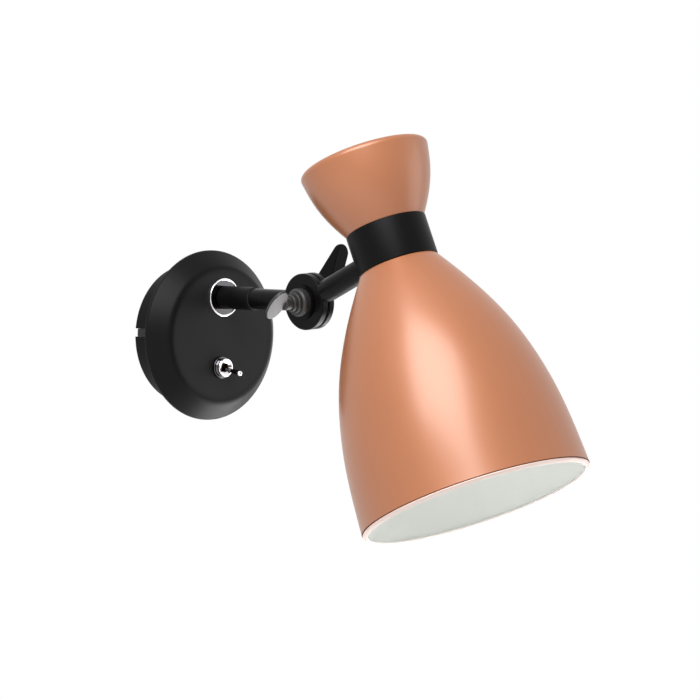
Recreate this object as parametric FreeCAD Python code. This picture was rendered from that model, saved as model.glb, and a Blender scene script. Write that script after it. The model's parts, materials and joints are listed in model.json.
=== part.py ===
"""Bedside wall reading lamp: a round rose with a toggle switch, a two-piece arm with a friction knuckle,
and a waisted shade.

Frame: millimetres, +Z up, origin at the centre of the rose's back face. The wall is the XZ plane and the
lamp stands out along -Y. Lengths called "out" are distances from the wall.
"""
import FreeCAD, Part
import math
import os

V = FreeCAD.Vector
OUT = V(0, -1, 0)
UP = V(0, 0, 1)
ACROSS = V(1, 0, 0)

# ---- fits and clearances
SEAT_GAP = 0.3        # between curved faces that only stand next to each other
RUNNING_GAP = 0.05    # radial, where a spindle turns in its bore
HOLE_GAP = 0.25       # radial, where a screw or a stud passes through
FIT_GAP = 0.05        # radial, where a thread or a press fit is drawn as plain cylinders
JOIN = 0.5            # how far two bodies of one piece run into each other where they are fused
SLOT_CUT = V(1.0, 0.8, 0)  # width and depth of a screw's slot
ARC_MIDDLE = 1 - math.sqrt(0.5)  # where a quarter round's middle lies, as a share of its corner

# ---- rose
DRUM_RADIUS = 45.0
DRUM_DEPTH = 20.5
DRUM_WALL = 1.8
DRUM_WEB = 2.0
WEB_MARGIN = 2.0      # left between the web's opening and the screw bosses
COVER_RADIUS = 55.0
COVER_EDGE = 2.0
COVER_FACE_RADIUS = 44.0
COVER_RISE = 11.0
COVER_WALL = 2.0
COVER_EDGE_ROUND = 0.8
COVER_FACE_ROUND = 3.0
COVER_BOSS_RADIUS = 4.0
COVER_BOSS_PITCH = 34.0
COVER_BOSS_ANGLES = (30, 150, 270)
COVER_SCREW_RADIUS = 1.5
COVER_SCREW_HEAD_RADIUS = 2.8
COVER_SCREW_HEAD = 1.6
COVER_SCREW_LENGTH = 8.0

# ---- wall bracket
BRACKET_CLEARANCE = 2.7  # from the ears to the drum's inside
BRACKET_HALF_WIDTH = DRUM_RADIUS - DRUM_WALL - BRACKET_CLEARANCE
BRACKET_HEIGHT = 26.0
BRACKET_SHEET = 1.5
BRACKET_EAR_DEPTH = 17.5
SLOT_SPACING = 52.0
SLOT_LENGTH = 9.0
SLOT_RADIUS = 2.3
CABLE_HOLE_RADIUS = 9.0
TONGUE_WIDTH = 5.2
TONGUE_BACK = 2.2
TONGUE_FRONT = 15.0
DRUM_SCREW_RISE = 9.0
DRUM_SCREW_OUT = 14.0
DRUM_SCREW_RADIUS = 2.0
DRUM_SCREW_HEAD_RADIUS = 3.2
DRUM_SCREW_HEAD = 2.0
DRUM_SCREW_GRIP = 3.8    # length of the screw behind the ear's outside
DRUM_SCREW_ROUND = 0.8

# ---- wiring inside the rose
TERMINAL_SIZE = V(24, 9, 12)
TERMINAL_DROP = -22.0
TERMINAL_POLES = 3
TERMINAL_PITCH = 7.5
TERMINAL_BORE = 1.5
TERMINAL_SCREW_SUNK = 0.5
EARTH_SCREW_RADIUS = 2.0
EARTH_SCREW_HEAD_RADIUS = 4.0
EARTH_SCREW_HEAD = 2.0
EARTH_SCREW_SIDE = 17.0
EARTH_SCREW_RISE = 8.7

# ---- toggle switch
SWITCH_DROP = 20.5
SWITCH_BODY = V(13.0, 13.5, 12.0)
SWITCH_SEAT_RADIUS = 4.5
SWITCH_SEAT_DEPTH = 4.0
TAG_SIZE = V(2.2, 4.0, 0.8)
TAG_PITCH = 7.0
BUSHING_RADIUS = 6.0
BUSHING_BORE = 3.9
BUSHING_PROUD = 4.6
BUSHING_NOSE = 2.4       # depth of the cone that holds the lever's ball
BUSHING_THROAT = 2.55    # narrow end of that cone
BUSHING_CHAMFER = 0.6
NUT_RADIUS = 7.8
NUT_THICKNESS = 2.0
NUT_ROUND = 0.5
LEVER_ANGLE = 15.7
LEVER_SUNK = 4.6         # from the bushing's face to the middle of the ball
LEVER_LENGTH = 15.5
LEVER_RADIUS = 1.15
LEVER_TIP_RADIUS = 1.75
LEVER_BALL_RADIUS = 3.0

# ---- arm fixed to the rose
ARM_RISE = 24.8
ESCUTCHEON_RADIUS = 12.5
ESCUTCHEON_THICKNESS = 1.6
ESCUTCHEON_ROUND = 0.6
SOCKET_RADIUS = 7.5
SOCKET_LENGTH = 29.0
SOCKET_BORE = 5.0
SOCKET_ROUND = 0.4
SOCKET_STUD_RADIUS = 6.0
SOCKET_STUD_LENGTH = 9.0
SOCKET_NUT_RADIUS = 9.5
SOCKET_NUT_THICKNESS = 3.0

# ---- swivel and lower knuckle
SWIVEL_GAP = 0.3
STUB_RADIUS = 6.65
STUB_BORE = 3.6
SPIGOT_LENGTH = 24.0
SEAM_RING_RADIUS = 7.0
PIVOT_OUT = 116.0
DISC_RADIUS = 18.1
NEAR_DISC = 5.4
FAR_DISC = 4.7
DISC_EDGE = 1.0
FRICTION_WASHER = 0.8
FRICTION_RADIUS = 15.2
HUB_RADIUS = 10.9
HUB_RISE = 1.3
BOSS_RADIUS = 9.0
BOSS_RISE = 5.4
BOSS_EDGE = 2.0
PIVOT_RADIUS = 2.5
JAM_RADII = (6.8, 5.3)
JAM_RISES = (2.2, 2.6)
JAM_ROUND = 0.6
SHANK_RADIUS = 4.0
SHANK_RISE = 5.6
SHANK_ROUND = 1.2
SPADE_HALF_LENGTH = 11.3
SPADE_HALF_WIDTH = 6.9
SPADE_THICKNESS = 2.0
SPADE_ANGLE = 50.0
SPADE_EDGE = 0.5
SPADE_SUNK = 1.4         # how far the oval head runs into its shank

# ---- clamp lever on the far side
LEVER_NUT_RADIUS = 7.6
LEVER_NUT_RISE = 8.0
LEVER_NUT_ROUND = 1.2
LEVER_NUT_FLOOR = 1.0    # left over the blind hole for the pivot bolt
WING_REACH = 35.4
WING_LEAN = 34.3
WING_ROOT_HEIGHT = 3.7   # middle of the wing's root above the nut's seat
WING_TIP_RADIUS = 5.0
WING_ROOT_THICKNESS = 14.0
WING_TIP_THICKNESS = 2.0
WING_SHOULDER = 14.0     # where the wing starts to taper
WING_EDGE = 0.7

# ---- arm that carries the head
TUBE_RADIUS = 7.4
TUBE_BORE = 5.2
NECK_END = 27.0
SPIGOT_DEPTH = 8.0
SPIGOT_SHORT = 1.0       # how much shorter the spigot is than its hole
HEAD_REACH = 87.0
TUBE_CABLE_RADIUS = 3.2
HEAD_STUD_RADIUS = 4.9
HEAD_STUD_END = 1.5      # how far the stud stands out of its nut
HEAD_NUT_RADIUS = 7.2
HEAD_NUT_THICKNESS = 3.0

# ---- head: heights are measured from the arm's axis, up the head's own axis
COLLAR_RADIUS = 25.7
COLLAR_WALL = 2.2
COLLAR_TOP = 16.7
COLLAR_BOTTOM = -10.1
COLLAR_EDGE = 0.5
COLLAR_WEB = 3.0
COLLAR_WEB_TOP = 15.2
NIPPLE_RADIUS = 5.0
NIPPLE_BORE = 3.6
NIPPLE_WINDOW = 2.4
NIPPLE_NUT_RADIUS = 8.0
NIPPLE_NUT = 3.0
NIPPLE_GRIP = 8.0        # how far the nipple goes into the lampholder
SHADE_WALL = 1.2
SHADE_SEAT = 2.4
# stations of a shade: radius, distance from the collar, and lean from the axis in degrees
BELL_STATIONS = ((25.4, 0.0, 34.5), (53.6, 48.4, 24.5), (69.0, 99.2, 10.5), (74.5, 157.0, 3.0))
BELL_LIP = V(3.2, 0, 2.3)  # how far the lip turns in and goes down past the last station
LIP_EDGE_SLOPE = 0.2       # how much smaller the lip's opening is inside than at its face
CAP_STATIONS = ((25.4, 0.0, 33.0), (38.0, 24.0, 19.0), (41.6, 41.0, 6.0))
CAP_HEIGHT = 47.9
CAP_CORNER = 5.5

# ---- lampholder for an E27 lamp
HOLDER_RADIUS = 19.5
HOLDER_LENGTH = 46.0
HOLDER_CAP_LENGTH = 16.0
HOLDER_WALL = 1.8
HOLDER_ROUND = 3.0
HOLDER_CROWN = 8.5       # thickness of the lampholder's closed top
HOLDER_GRIP_RISE = 8.0
HOLDER_GRIP_WIDTH = 4.0
HOLDER_GRIP_PROUD = 1.0
CORE_GAP = 0.5           # between the crown and the ceramic core
HOLDER_CORE_RADIUS = 16.5
LAMP_THREAD_RADIUS = 13.3
LAMP_THREAD_LENGTH = 20.0
LAMP_WELL_DEPTH = 25.0
THREAD_SHELL_WALL = 0.4
CONTACT_STRIP = V(8.8, 4.0, 0.6)
CONTACT_RADIUS = 2.0
CONTACT_RISE = 3.0

# ---- rest pose: angles of the held joints in the photograph
REST_TILT = 23.0
REST_SWIVEL = 6.4

# ---- places that follow from the sizes above
FACE_OUT = DRUM_DEPTH + COVER_EDGE + COVER_RISE
ARM_AXIS = V(0, 0, ARM_RISE)
SOCKET_START = FACE_OUT + ESCUTCHEON_THICKNESS
SOCKET_END = SOCKET_START + SOCKET_LENGTH
PIVOT = V(0, -PIVOT_OUT, ARM_RISE)
DISC_INNER = FRICTION_WASHER / 2
NEAR_FACE = DISC_INNER + NEAR_DISC
FAR_FACE = DISC_INNER + FAR_DISC
HUB_FACE = NEAR_FACE + HUB_RISE
BOSS_FACE = HUB_FACE + BOSS_RISE
JAM_FACE = BOSS_FACE + sum(JAM_RISES)
SHANK_END = JAM_FACE + SHANK_RISE
HEAD_AXIS_BASE = V(0, -PIVOT_OUT - HEAD_REACH, ARM_RISE)


def out_point(distance, x=0.0, z=0.0):
    """A point that far out from the wall."""
    return V(x, -distance, z)


def rod(radius, start, direction, length):
    """A plain cylinder from a point, along a direction."""
    return Part.makeCylinder(radius, length, start, direction)


def tube(radius, bore, start, direction, length):
    """A cylinder with a through bore."""
    return rod(radius, start, direction, length).cut(rod(bore, start, direction, length))


def centred_box(size, centre):
    """A box whose middle lies at a point."""
    return Part.makeBox(size.x, size.y, size.z, centre - size * 0.5)


def hexagon(radius, start, direction, length):
    """A hexagonal bar, radius over its corners."""
    side = direction.cross(UP) if abs(direction.z) < 0.9 else direction.cross(ACROSS)
    side.normalize()
    corners = [start + FreeCAD.Rotation(direction, 60 * k).multVec(side * radius) for k in range(7)]
    return Part.Face(Part.makePolygon(corners)).extrude(direction * length)


def revolved(edges, centre, axis):
    """A solid turned from a closed outline."""
    return Part.Face(Part.Wire(Part.__sortEdges__(edges))).revolve(centre, axis, 360)


def round_edges(shape, radius, test):
    """Rounds the edges that pass a test."""
    return shape.makeFillet(radius, [edge for edge in shape.Edges if test(edge)])


def is_ring(edge, radius, axis, along):
    """True for a full circle of that radius whose centre lies that far along an axis."""
    curve = edge.Curve
    if not isinstance(curve, Part.Circle) or abs(curve.Radius - radius) > 1e-3:
        return False
    return abs(curve.Center.dot(axis) - along) < 1e-3


# ---------------------------------------------------------------- rose

def side_points():
    """The two drum screws: one on each side, each the same distance off the middle."""
    return [(side, V(side * BRACKET_HALF_WIDTH, -DRUM_SCREW_OUT, side * -DRUM_SCREW_RISE))
            for side in (-1, 1)]


def wall_slot(side):
    """One slot of the wall bracket, as a solid that cuts it."""
    reach = SLOT_LENGTH / 2 - SLOT_RADIUS
    middle = side * SLOT_SPACING / 2
    ends = [rod(SLOT_RADIUS, V(middle + end * reach, 0, 0), OUT, BRACKET_SHEET) for end in (-1, 1)]
    bar = Part.makeBox(2 * reach, BRACKET_SHEET, 2 * SLOT_RADIUS,
                       V(middle - reach, -BRACKET_SHEET, -SLOT_RADIUS))
    return bar.fuse(ends)


def wall_bracket():
    """Bent strap screwed to the wall: two slots, a cable hole, and ears that the drum is screwed to."""
    strap = Part.makeBox(2 * BRACKET_HALF_WIDTH, BRACKET_SHEET, BRACKET_HEIGHT,
                         V(-BRACKET_HALF_WIDTH, -BRACKET_SHEET, -BRACKET_HEIGHT / 2))
    for side in (-1, 1):
        inner = min(side * BRACKET_HALF_WIDTH, side * (BRACKET_HALF_WIDTH - BRACKET_SHEET))
        ear = Part.makeBox(BRACKET_SHEET, BRACKET_EAR_DEPTH, BRACKET_HEIGHT,
                           V(inner, -BRACKET_EAR_DEPTH, -BRACKET_HEIGHT / 2))
        tongue = Part.makeBox(DRUM_RADIUS, TONGUE_FRONT - TONGUE_BACK, TONGUE_WIDTH,
                              V(0 if side > 0 else -DRUM_RADIUS, -TONGUE_FRONT, -TONGUE_WIDTH / 2))
        tongue = tongue.common(tube(DRUM_RADIUS, BRACKET_HALF_WIDTH - BRACKET_SHEET, V(0, 0, 0), OUT,
                                    DRUM_DEPTH))
        strap = strap.fuse([ear, tongue])
    cuts = [wall_slot(side) for side in (-1, 1)]
    cuts.append(rod(CABLE_HOLE_RADIUS, V(0, 0, 0), OUT, BRACKET_SHEET))
    cuts.append(rod(EARTH_SCREW_RADIUS + FIT_GAP, V(EARTH_SCREW_SIDE, 0, EARTH_SCREW_RISE), OUT,
                    BRACKET_SHEET))
    for side, point in side_points():
        cuts.append(rod(DRUM_SCREW_RADIUS + FIT_GAP, V(point.x - side * 2 * BRACKET_SHEET, point.y, point.z),
                        ACROSS * side, 4 * BRACKET_SHEET))
    return strap.cut(cuts).removeSplitter()


def rose_drum():
    """Short round box behind the cover, open to the wall, with a notch for each bracket tongue."""
    drum = rod(DRUM_RADIUS, V(0, 0, 0), OUT, DRUM_DEPTH)
    drum = drum.cut(rod(DRUM_RADIUS - DRUM_WALL, V(0, 0, 0), OUT, DRUM_DEPTH - DRUM_WEB))
    cuts = [rod(COVER_BOSS_PITCH - COVER_BOSS_RADIUS - WEB_MARGIN, V(0, 0, 0), OUT, DRUM_DEPTH)]
    notch_width = TONGUE_WIDTH + 2 * FIT_GAP
    cuts.append(Part.makeBox(2 * DRUM_RADIUS, TONGUE_FRONT + FIT_GAP, notch_width,
                             V(-DRUM_RADIUS, -TONGUE_FRONT - FIT_GAP, -notch_width / 2)))
    for side, point in side_points():
        cuts.append(rod(DRUM_SCREW_RADIUS + HOLE_GAP, point, ACROSS * side, DRUM_RADIUS))
        cuts.append(rod(DRUM_SCREW_HEAD_RADIUS + HOLE_GAP, V(side * screw_seat(), point.y, point.z),
                        ACROSS * side, DRUM_RADIUS))
    for angle in COVER_BOSS_ANGLES:
        cuts.append(rod(COVER_SCREW_RADIUS + HOLE_GAP, boss_point(angle, DRUM_DEPTH - 2 * DRUM_WEB),
                        OUT, 3 * DRUM_WEB))
    return drum.cut(cuts).removeSplitter()


def screw_seat():
    """Distance of the flat under a drum screw's head from the middle plane."""
    reach = DRUM_SCREW_RISE + DRUM_SCREW_HEAD_RADIUS
    return math.sqrt((DRUM_RADIUS - DRUM_WALL / 2) ** 2 - reach ** 2)


def drum_screws():
    """The two pan-head screws in the drum's sides."""
    screws = []
    for side, point in side_points():
        seat = side * screw_seat()
        tip = V(side * (BRACKET_HALF_WIDTH - DRUM_SCREW_GRIP), point.y, point.z)
        shank = rod(DRUM_SCREW_RADIUS, tip, ACROSS * side, abs(seat - tip.x))
        head = rod(DRUM_SCREW_HEAD_RADIUS, V(seat, point.y, point.z), ACROSS * side, DRUM_SCREW_HEAD)
        top = abs(seat) + DRUM_SCREW_HEAD
        head = round_edges(head, DRUM_SCREW_ROUND,
                           lambda edge: is_ring(edge, DRUM_SCREW_HEAD_RADIUS, ACROSS * side, top))
        slot = centred_box(V(2 * SLOT_CUT.y, SLOT_CUT.x, 2 * DRUM_SCREW_HEAD_RADIUS),
                           V(side * top, point.y, point.z))
        screws.append(shank.fuse(head).cut(slot).removeSplitter())
    return Part.makeCompound(screws)


def boss_point(angle, distance):
    """A point on the circle of the cover's screw bosses."""
    turn = math.radians(angle)
    return V(COVER_BOSS_PITCH * math.cos(turn), -distance, COVER_BOSS_PITCH * math.sin(turn))


def cover_outline(radius, face_radius, back, front, corner):
    """Closed half outline of the cover: short edge, bevel, rounded shoulder and flat face."""
    edge_top = V(radius, -(back + COVER_EDGE), 0)
    shoulder = V(face_radius, -front, 0)
    slope = shoulder - edge_top
    slope.normalize()
    start = shoulder - slope * corner
    finish = shoulder - V(corner, 0, 0)
    middle = (start + finish) * 0.25 + shoulder * 0.5
    return [Part.makeLine(V(0, -back, 0), V(radius, -back, 0)), Part.makeLine(V(radius, -back, 0), edge_top),
            Part.makeLine(edge_top, start), Part.Arc(start, middle, finish).toShape(),
            Part.makeLine(finish, V(0, -front, 0)), Part.makeLine(V(0, -front, 0), V(0, -back, 0))]


def rose_cover():
    """Bevelled front of the rose: a shell with screw bosses behind it and holes for arm and switch."""
    body = revolved(cover_outline(COVER_RADIUS, COVER_FACE_RADIUS, DRUM_DEPTH, FACE_OUT, COVER_FACE_ROUND),
                    V(0, 0, 0), V(0, 1, 0))
    edge_out = DRUM_DEPTH + COVER_EDGE
    body = round_edges(body, COVER_EDGE_ROUND, lambda edge: is_ring(edge, COVER_RADIUS, OUT, edge_out))
    hollow = Part.makeCone(DRUM_RADIUS - DRUM_WALL, COVER_FACE_RADIUS - 2 * COVER_WALL,
                           FACE_OUT - COVER_WALL - DRUM_DEPTH, out_point(DRUM_DEPTH), OUT)
    bosses = [rod(COVER_BOSS_RADIUS, boss_point(angle, DRUM_DEPTH), OUT, FACE_OUT - DRUM_DEPTH - COVER_WALL)
              for angle in COVER_BOSS_ANGLES]
    body = body.cut(hollow).fuse(bosses)
    cuts = [rod(COVER_SCREW_RADIUS + FIT_GAP, boss_point(angle, DRUM_DEPTH), OUT, COVER_SCREW_LENGTH)
            for angle in COVER_BOSS_ANGLES]
    cuts.append(rod(SOCKET_STUD_RADIUS + HOLE_GAP, V(0, 0, ARM_RISE), OUT, FACE_OUT))
    cuts.append(rod(BUSHING_RADIUS + HOLE_GAP, V(0, 0, -SWITCH_DROP), OUT, FACE_OUT))
    return body.cut(cuts).removeSplitter()


def cover_screws():
    """Three screws from behind, through the drum's web into the cover's bosses."""
    screws = []
    for angle in COVER_BOSS_ANGLES:
        seat = boss_point(angle, DRUM_DEPTH - DRUM_WEB)
        shank = rod(COVER_SCREW_RADIUS, seat, OUT, DRUM_WEB + COVER_SCREW_LENGTH - SEAT_GAP)
        head = rod(COVER_SCREW_HEAD_RADIUS, seat, -OUT, COVER_SCREW_HEAD)
        slot = centred_box(V(2 * COVER_SCREW_HEAD_RADIUS, 2 * SLOT_CUT.y, SLOT_CUT.x),
                           seat - OUT * COVER_SCREW_HEAD)
        screws.append(shank.fuse(head).cut(slot).removeSplitter())
    return Part.makeCompound(screws)


def terminal_block():
    """Three-pole block standing on the bracket under the cable hole."""
    centre = V(0, -BRACKET_SHEET - TERMINAL_SIZE.y / 2, TERMINAL_DROP + TERMINAL_SIZE.z / 2)
    block = centred_box(TERMINAL_SIZE, centre)
    cuts = []
    for pole in range(TERMINAL_POLES):
        x = (pole - (TERMINAL_POLES - 1) / 2) * TERMINAL_PITCH
        cuts.append(rod(TERMINAL_BORE, V(x, centre.y, TERMINAL_DROP), UP, TERMINAL_SIZE.z))
        cuts.append(rod(TERMINAL_BORE, V(x, centre.y, centre.z), OUT, TERMINAL_SIZE.y))
    return block.cut(cuts)


def terminal_screws():
    """The clamping screws of the terminal block."""
    centre_out = BRACKET_SHEET + TERMINAL_SIZE.y / 2
    z = TERMINAL_DROP + TERMINAL_SIZE.z / 2
    screws = []
    for pole in range(TERMINAL_POLES):
        x = (pole - (TERMINAL_POLES - 1) / 2) * TERMINAL_PITCH
        top = TERMINAL_SIZE.y / 2 - TERMINAL_SCREW_SUNK
        body = rod(TERMINAL_BORE - FIT_GAP, out_point(centre_out, x, z), OUT, top)
        slot = centred_box(V(2 * TERMINAL_BORE, 2 * SLOT_CUT.y, SLOT_CUT.x),
                           out_point(centre_out + top, x, z))
        screws.append(body.cut(slot))
    return Part.makeCompound(screws)


def earth_screw():
    """Earthing screw in the bracket."""
    seat = out_point(BRACKET_SHEET, EARTH_SCREW_SIDE, EARTH_SCREW_RISE)
    shank = rod(EARTH_SCREW_RADIUS, seat + OUT * JOIN, -OUT, BRACKET_SHEET)
    head = rod(EARTH_SCREW_HEAD_RADIUS, seat, OUT, EARTH_SCREW_HEAD)
    slot = centred_box(V(2 * EARTH_SCREW_HEAD_RADIUS, 2 * SLOT_CUT.y, SLOT_CUT.x),
                       seat + OUT * EARTH_SCREW_HEAD)
    return shank.fuse(head).cut(slot).removeSplitter()


# ---------------------------------------------------------------- toggle switch

def switch_back():
    """Where the switch body's front lies: behind the cover and its inner nut."""
    return FACE_OUT - COVER_WALL - NUT_THICKNESS


def switch_body():
    """Moulded body of the toggle switch with its two solder tags."""
    front = switch_back()
    centre = V(0, -front + SWITCH_BODY.y / 2, -SWITCH_DROP)
    body = centred_box(SWITCH_BODY, centre)
    tag_out = front - SWITCH_BODY.y - TAG_SIZE.y / 2 + JOIN
    tags = [centred_box(TAG_SIZE, out_point(tag_out, 0, -SWITCH_DROP + side * TAG_PITCH / 2))
            for side in (-1, 1)]
    body = body.cut(rod(SWITCH_SEAT_RADIUS, out_point(front, 0, -SWITCH_DROP), -OUT, SWITCH_SEAT_DEPTH))
    return body.fuse(tags).removeSplitter()


def switch_bushing():
    """Threaded bushing of the switch, with the seat of the lever's ball inside it."""
    front = switch_back()
    length = FACE_OUT + BUSHING_PROUD - front
    bushing = rod(BUSHING_RADIUS, out_point(front, 0, -SWITCH_DROP), OUT, length)
    nose = FACE_OUT + BUSHING_PROUD
    rims = [edge for edge in bushing.Edges if is_ring(edge, BUSHING_RADIUS, OUT, nose)]
    bushing = bushing.makeChamfer(BUSHING_CHAMFER, rims)
    bore = rod(BUSHING_BORE, out_point(front, 0, -SWITCH_DROP), OUT, length - BUSHING_NOSE)
    mouth = Part.makeCone(BUSHING_THROAT, BUSHING_BORE, BUSHING_NOSE,
                          out_point(nose - BUSHING_NOSE, 0, -SWITCH_DROP), OUT)
    return bushing.cut([bore, mouth]).removeSplitter()


def switch_nuts():
    """Round dress nut outside the cover and hexagonal lock nut behind it."""
    outer = tube(NUT_RADIUS, BUSHING_RADIUS + FIT_GAP, out_point(FACE_OUT, 0, -SWITCH_DROP), OUT,
                 NUT_THICKNESS)
    rim = FACE_OUT + NUT_THICKNESS
    outer = round_edges(outer, NUT_ROUND, lambda edge: is_ring(edge, NUT_RADIUS, OUT, rim))
    start = out_point(switch_back(), 0, -SWITCH_DROP)
    inner = hexagon(NUT_RADIUS, start, OUT, NUT_THICKNESS)
    inner = inner.cut(rod(BUSHING_RADIUS + FIT_GAP, start, OUT, NUT_THICKNESS))
    return Part.makeCompound([outer, inner])


def lever_pivot():
    """Centre of the toggle lever's ball, inside the bushing."""
    return out_point(FACE_OUT + BUSHING_PROUD - LEVER_SUNK, 0, -SWITCH_DROP)


def switch_lever():
    """Toggle lever: ball, tapered stem and rounded tip, pointing a little down at rest."""
    pivot = lever_pivot()
    ball = Part.makeSphere(LEVER_BALL_RADIUS, pivot)
    stem = Part.makeCone(LEVER_RADIUS, LEVER_TIP_RADIUS, LEVER_LENGTH, pivot, OUT)
    tip = Part.makeSphere(LEVER_TIP_RADIUS, pivot + OUT * LEVER_LENGTH)
    lever = ball.fuse([stem, tip]).removeSplitter()
    lever.rotate(pivot, ACROSS, LEVER_ANGLE)
    return lever


# ---------------------------------------------------------------- fixed arm

def escutcheon():
    """Polished disc with a raised rim where the arm leaves the rose."""
    disc = tube(ESCUTCHEON_RADIUS, SOCKET_STUD_RADIUS + HOLE_GAP, out_point(FACE_OUT, 0, ARM_RISE), OUT,
                ESCUTCHEON_THICKNESS)
    front = FACE_OUT + ESCUTCHEON_THICKNESS
    return round_edges(disc, ESCUTCHEON_ROUND, lambda edge: is_ring(edge, ESCUTCHEON_RADIUS, OUT, front))


def arm_socket():
    """Fixed first length of the arm, with a threaded stud through the cover and a bore for the swivel."""
    body = rod(SOCKET_RADIUS, out_point(SOCKET_START, 0, ARM_RISE), OUT, SOCKET_LENGTH)
    body = round_edges(body, SOCKET_ROUND, lambda edge: is_ring(edge, SOCKET_RADIUS, OUT, SOCKET_END))
    stud = rod(SOCKET_STUD_RADIUS, out_point(SOCKET_START, 0, ARM_RISE), -OUT, SOCKET_STUD_LENGTH)
    bore = rod(SOCKET_BORE, out_point(SOCKET_START - SOCKET_STUD_LENGTH, 0, ARM_RISE), OUT,
               SOCKET_LENGTH + SOCKET_STUD_LENGTH)
    return body.fuse(stud).cut(bore).removeSplitter()


def socket_nut():
    """Nut that draws the arm socket against the inside of the cover."""
    start = out_point(FACE_OUT - COVER_WALL, 0, ARM_RISE)
    nut = hexagon(SOCKET_NUT_RADIUS, start, -OUT, SOCKET_NUT_THICKNESS)
    return nut.cut(rod(SOCKET_STUD_RADIUS + FIT_GAP, start, -OUT, SOCKET_NUT_THICKNESS))


# ---------------------------------------------------------------- swivelling arm

def knuckle_half(side, thickness, tube_radius, direction, length):
    """Half of the knuckle: a disc on one side of the middle plane, with a neck that clears the other disc."""
    disc = rod(DISC_RADIUS, PIVOT + ACROSS * side * DISC_INNER, ACROSS * side, thickness)
    rims = [edge for edge in disc.Edges if isinstance(edge.Curve, Part.Circle)]
    disc = disc.makeFillet(DISC_EDGE, rims)
    neck = rod(tube_radius, PIVOT, direction, length)
    other = rod(DISC_RADIUS + SEAT_GAP, PIVOT + ACROSS * side * DISC_INNER, ACROSS * -side, 2 * tube_radius)
    own = rod(DISC_RADIUS, PIVOT + ACROSS * side * (DISC_INNER + thickness), ACROSS * side, 2 * tube_radius)
    half = disc.fuse(neck.cut([other, own]))
    return half.cut(rod(PIVOT_RADIUS + RUNNING_GAP, PIVOT - ACROSS * DISC_RADIUS, ACROSS, 2 * DISC_RADIUS))


def lower_knuckle():
    """Arm stub that swivels in the socket, with the near half of the knuckle on its end."""
    start = SOCKET_END + SWIVEL_GAP
    half = knuckle_half(-1, NEAR_DISC, STUB_RADIUS, -OUT, PIVOT_OUT - start)
    hub = rod(HUB_RADIUS, PIVOT - ACROSS * (NEAR_FACE - JOIN), -ACROSS, HUB_RISE + JOIN)
    hub = hub.cut(rod(PIVOT_RADIUS + RUNNING_GAP, PIVOT, -ACROSS, 2 * HUB_FACE))
    spigot = rod(SOCKET_BORE - RUNNING_GAP, out_point(start, 0, ARM_RISE), -OUT, SPIGOT_LENGTH)
    bore = rod(STUB_BORE, out_point(start - SPIGOT_LENGTH, 0, ARM_RISE), OUT,
               PIVOT_OUT - DISC_RADIUS - start + SPIGOT_LENGTH)
    return half.fuse([hub, spigot]).cut(bore).removeSplitter()


def swivel_ring():
    """Thin bright ring in the seam where the arm swivels."""
    return tube(SEAM_RING_RADIUS, SOCKET_BORE + FIT_GAP, out_point(SOCKET_END, 0, ARM_RISE), OUT, SWIVEL_GAP)


def friction_washer():
    """Fibre washer between the two discs of the knuckle."""
    return tube(FRICTION_RADIUS, PIVOT_RADIUS + RUNNING_GAP, PIVOT - ACROSS * DISC_INNER, ACROSS,
                FRICTION_WASHER)


def pivot_boss():
    """Turned cup washer with a rounded edge on the near side of the knuckle."""
    boss = rod(BOSS_RADIUS, PIVOT - ACROSS * HUB_FACE, -ACROSS, BOSS_RISE)
    boss = round_edges(boss, BOSS_EDGE, lambda edge: is_ring(edge, BOSS_RADIUS, -ACROSS, BOSS_FACE))
    return boss.cut(rod(PIVOT_RADIUS + FIT_GAP, PIVOT, -ACROSS, 2 * BOSS_FACE))


def jam_nuts():
    """Two stepped rings that lock the thumb screw's setting."""
    rings = []
    face = BOSS_FACE
    for radius, rise in zip(JAM_RADII, JAM_RISES):
        ring = rod(radius, PIVOT - ACROSS * face, -ACROSS, rise)
        top = face + rise
        ring = round_edges(ring, JAM_ROUND, lambda edge: is_ring(edge, radius, -ACROSS, top))
        rings.append(ring.cut(rod(PIVOT_RADIUS + FIT_GAP, PIVOT - ACROSS * face, -ACROSS, rise)))
        face = top
    return Part.makeCompound(rings)


def thumb_screw():
    """Pivot bolt of the knuckle: a long shank with a flat oval head to hold between two fingers."""
    shank = rod(SHANK_RADIUS, PIVOT - ACROSS * JAM_FACE, -ACROSS, SHANK_RISE)
    shank = round_edges(shank, SHANK_ROUND, lambda edge: is_ring(edge, SHANK_RADIUS, -ACROSS, SHANK_END))
    bolt = rod(PIVOT_RADIUS, PIVOT - ACROSS * JAM_FACE, ACROSS,
               JAM_FACE + FAR_FACE + LEVER_NUT_RISE - LEVER_NUT_FLOOR - SEAT_GAP)
    centre = PIVOT - ACROSS * (SHANK_END + SPADE_HALF_WIDTH - SPADE_SUNK)
    oval = Part.Ellipse(V(0, 0, 0), SPADE_HALF_LENGTH, SPADE_HALF_WIDTH).toShape()
    spade = Part.Face(Part.Wire(oval)).extrude(UP * SPADE_THICKNESS)
    spade.translate(UP * (-SPADE_THICKNESS / 2))
    rims = [edge for edge in spade.Edges if isinstance(edge.Curve, Part.Ellipse)]
    spade = spade.makeFillet(SPADE_EDGE, rims)
    spade.rotate(V(0, 0, 0), UP, 90)
    spade.rotate(V(0, 0, 0), ACROSS, -SPADE_ANGLE)
    spade.translate(centre)
    return bolt.fuse([shank, spade]).removeSplitter()


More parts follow.
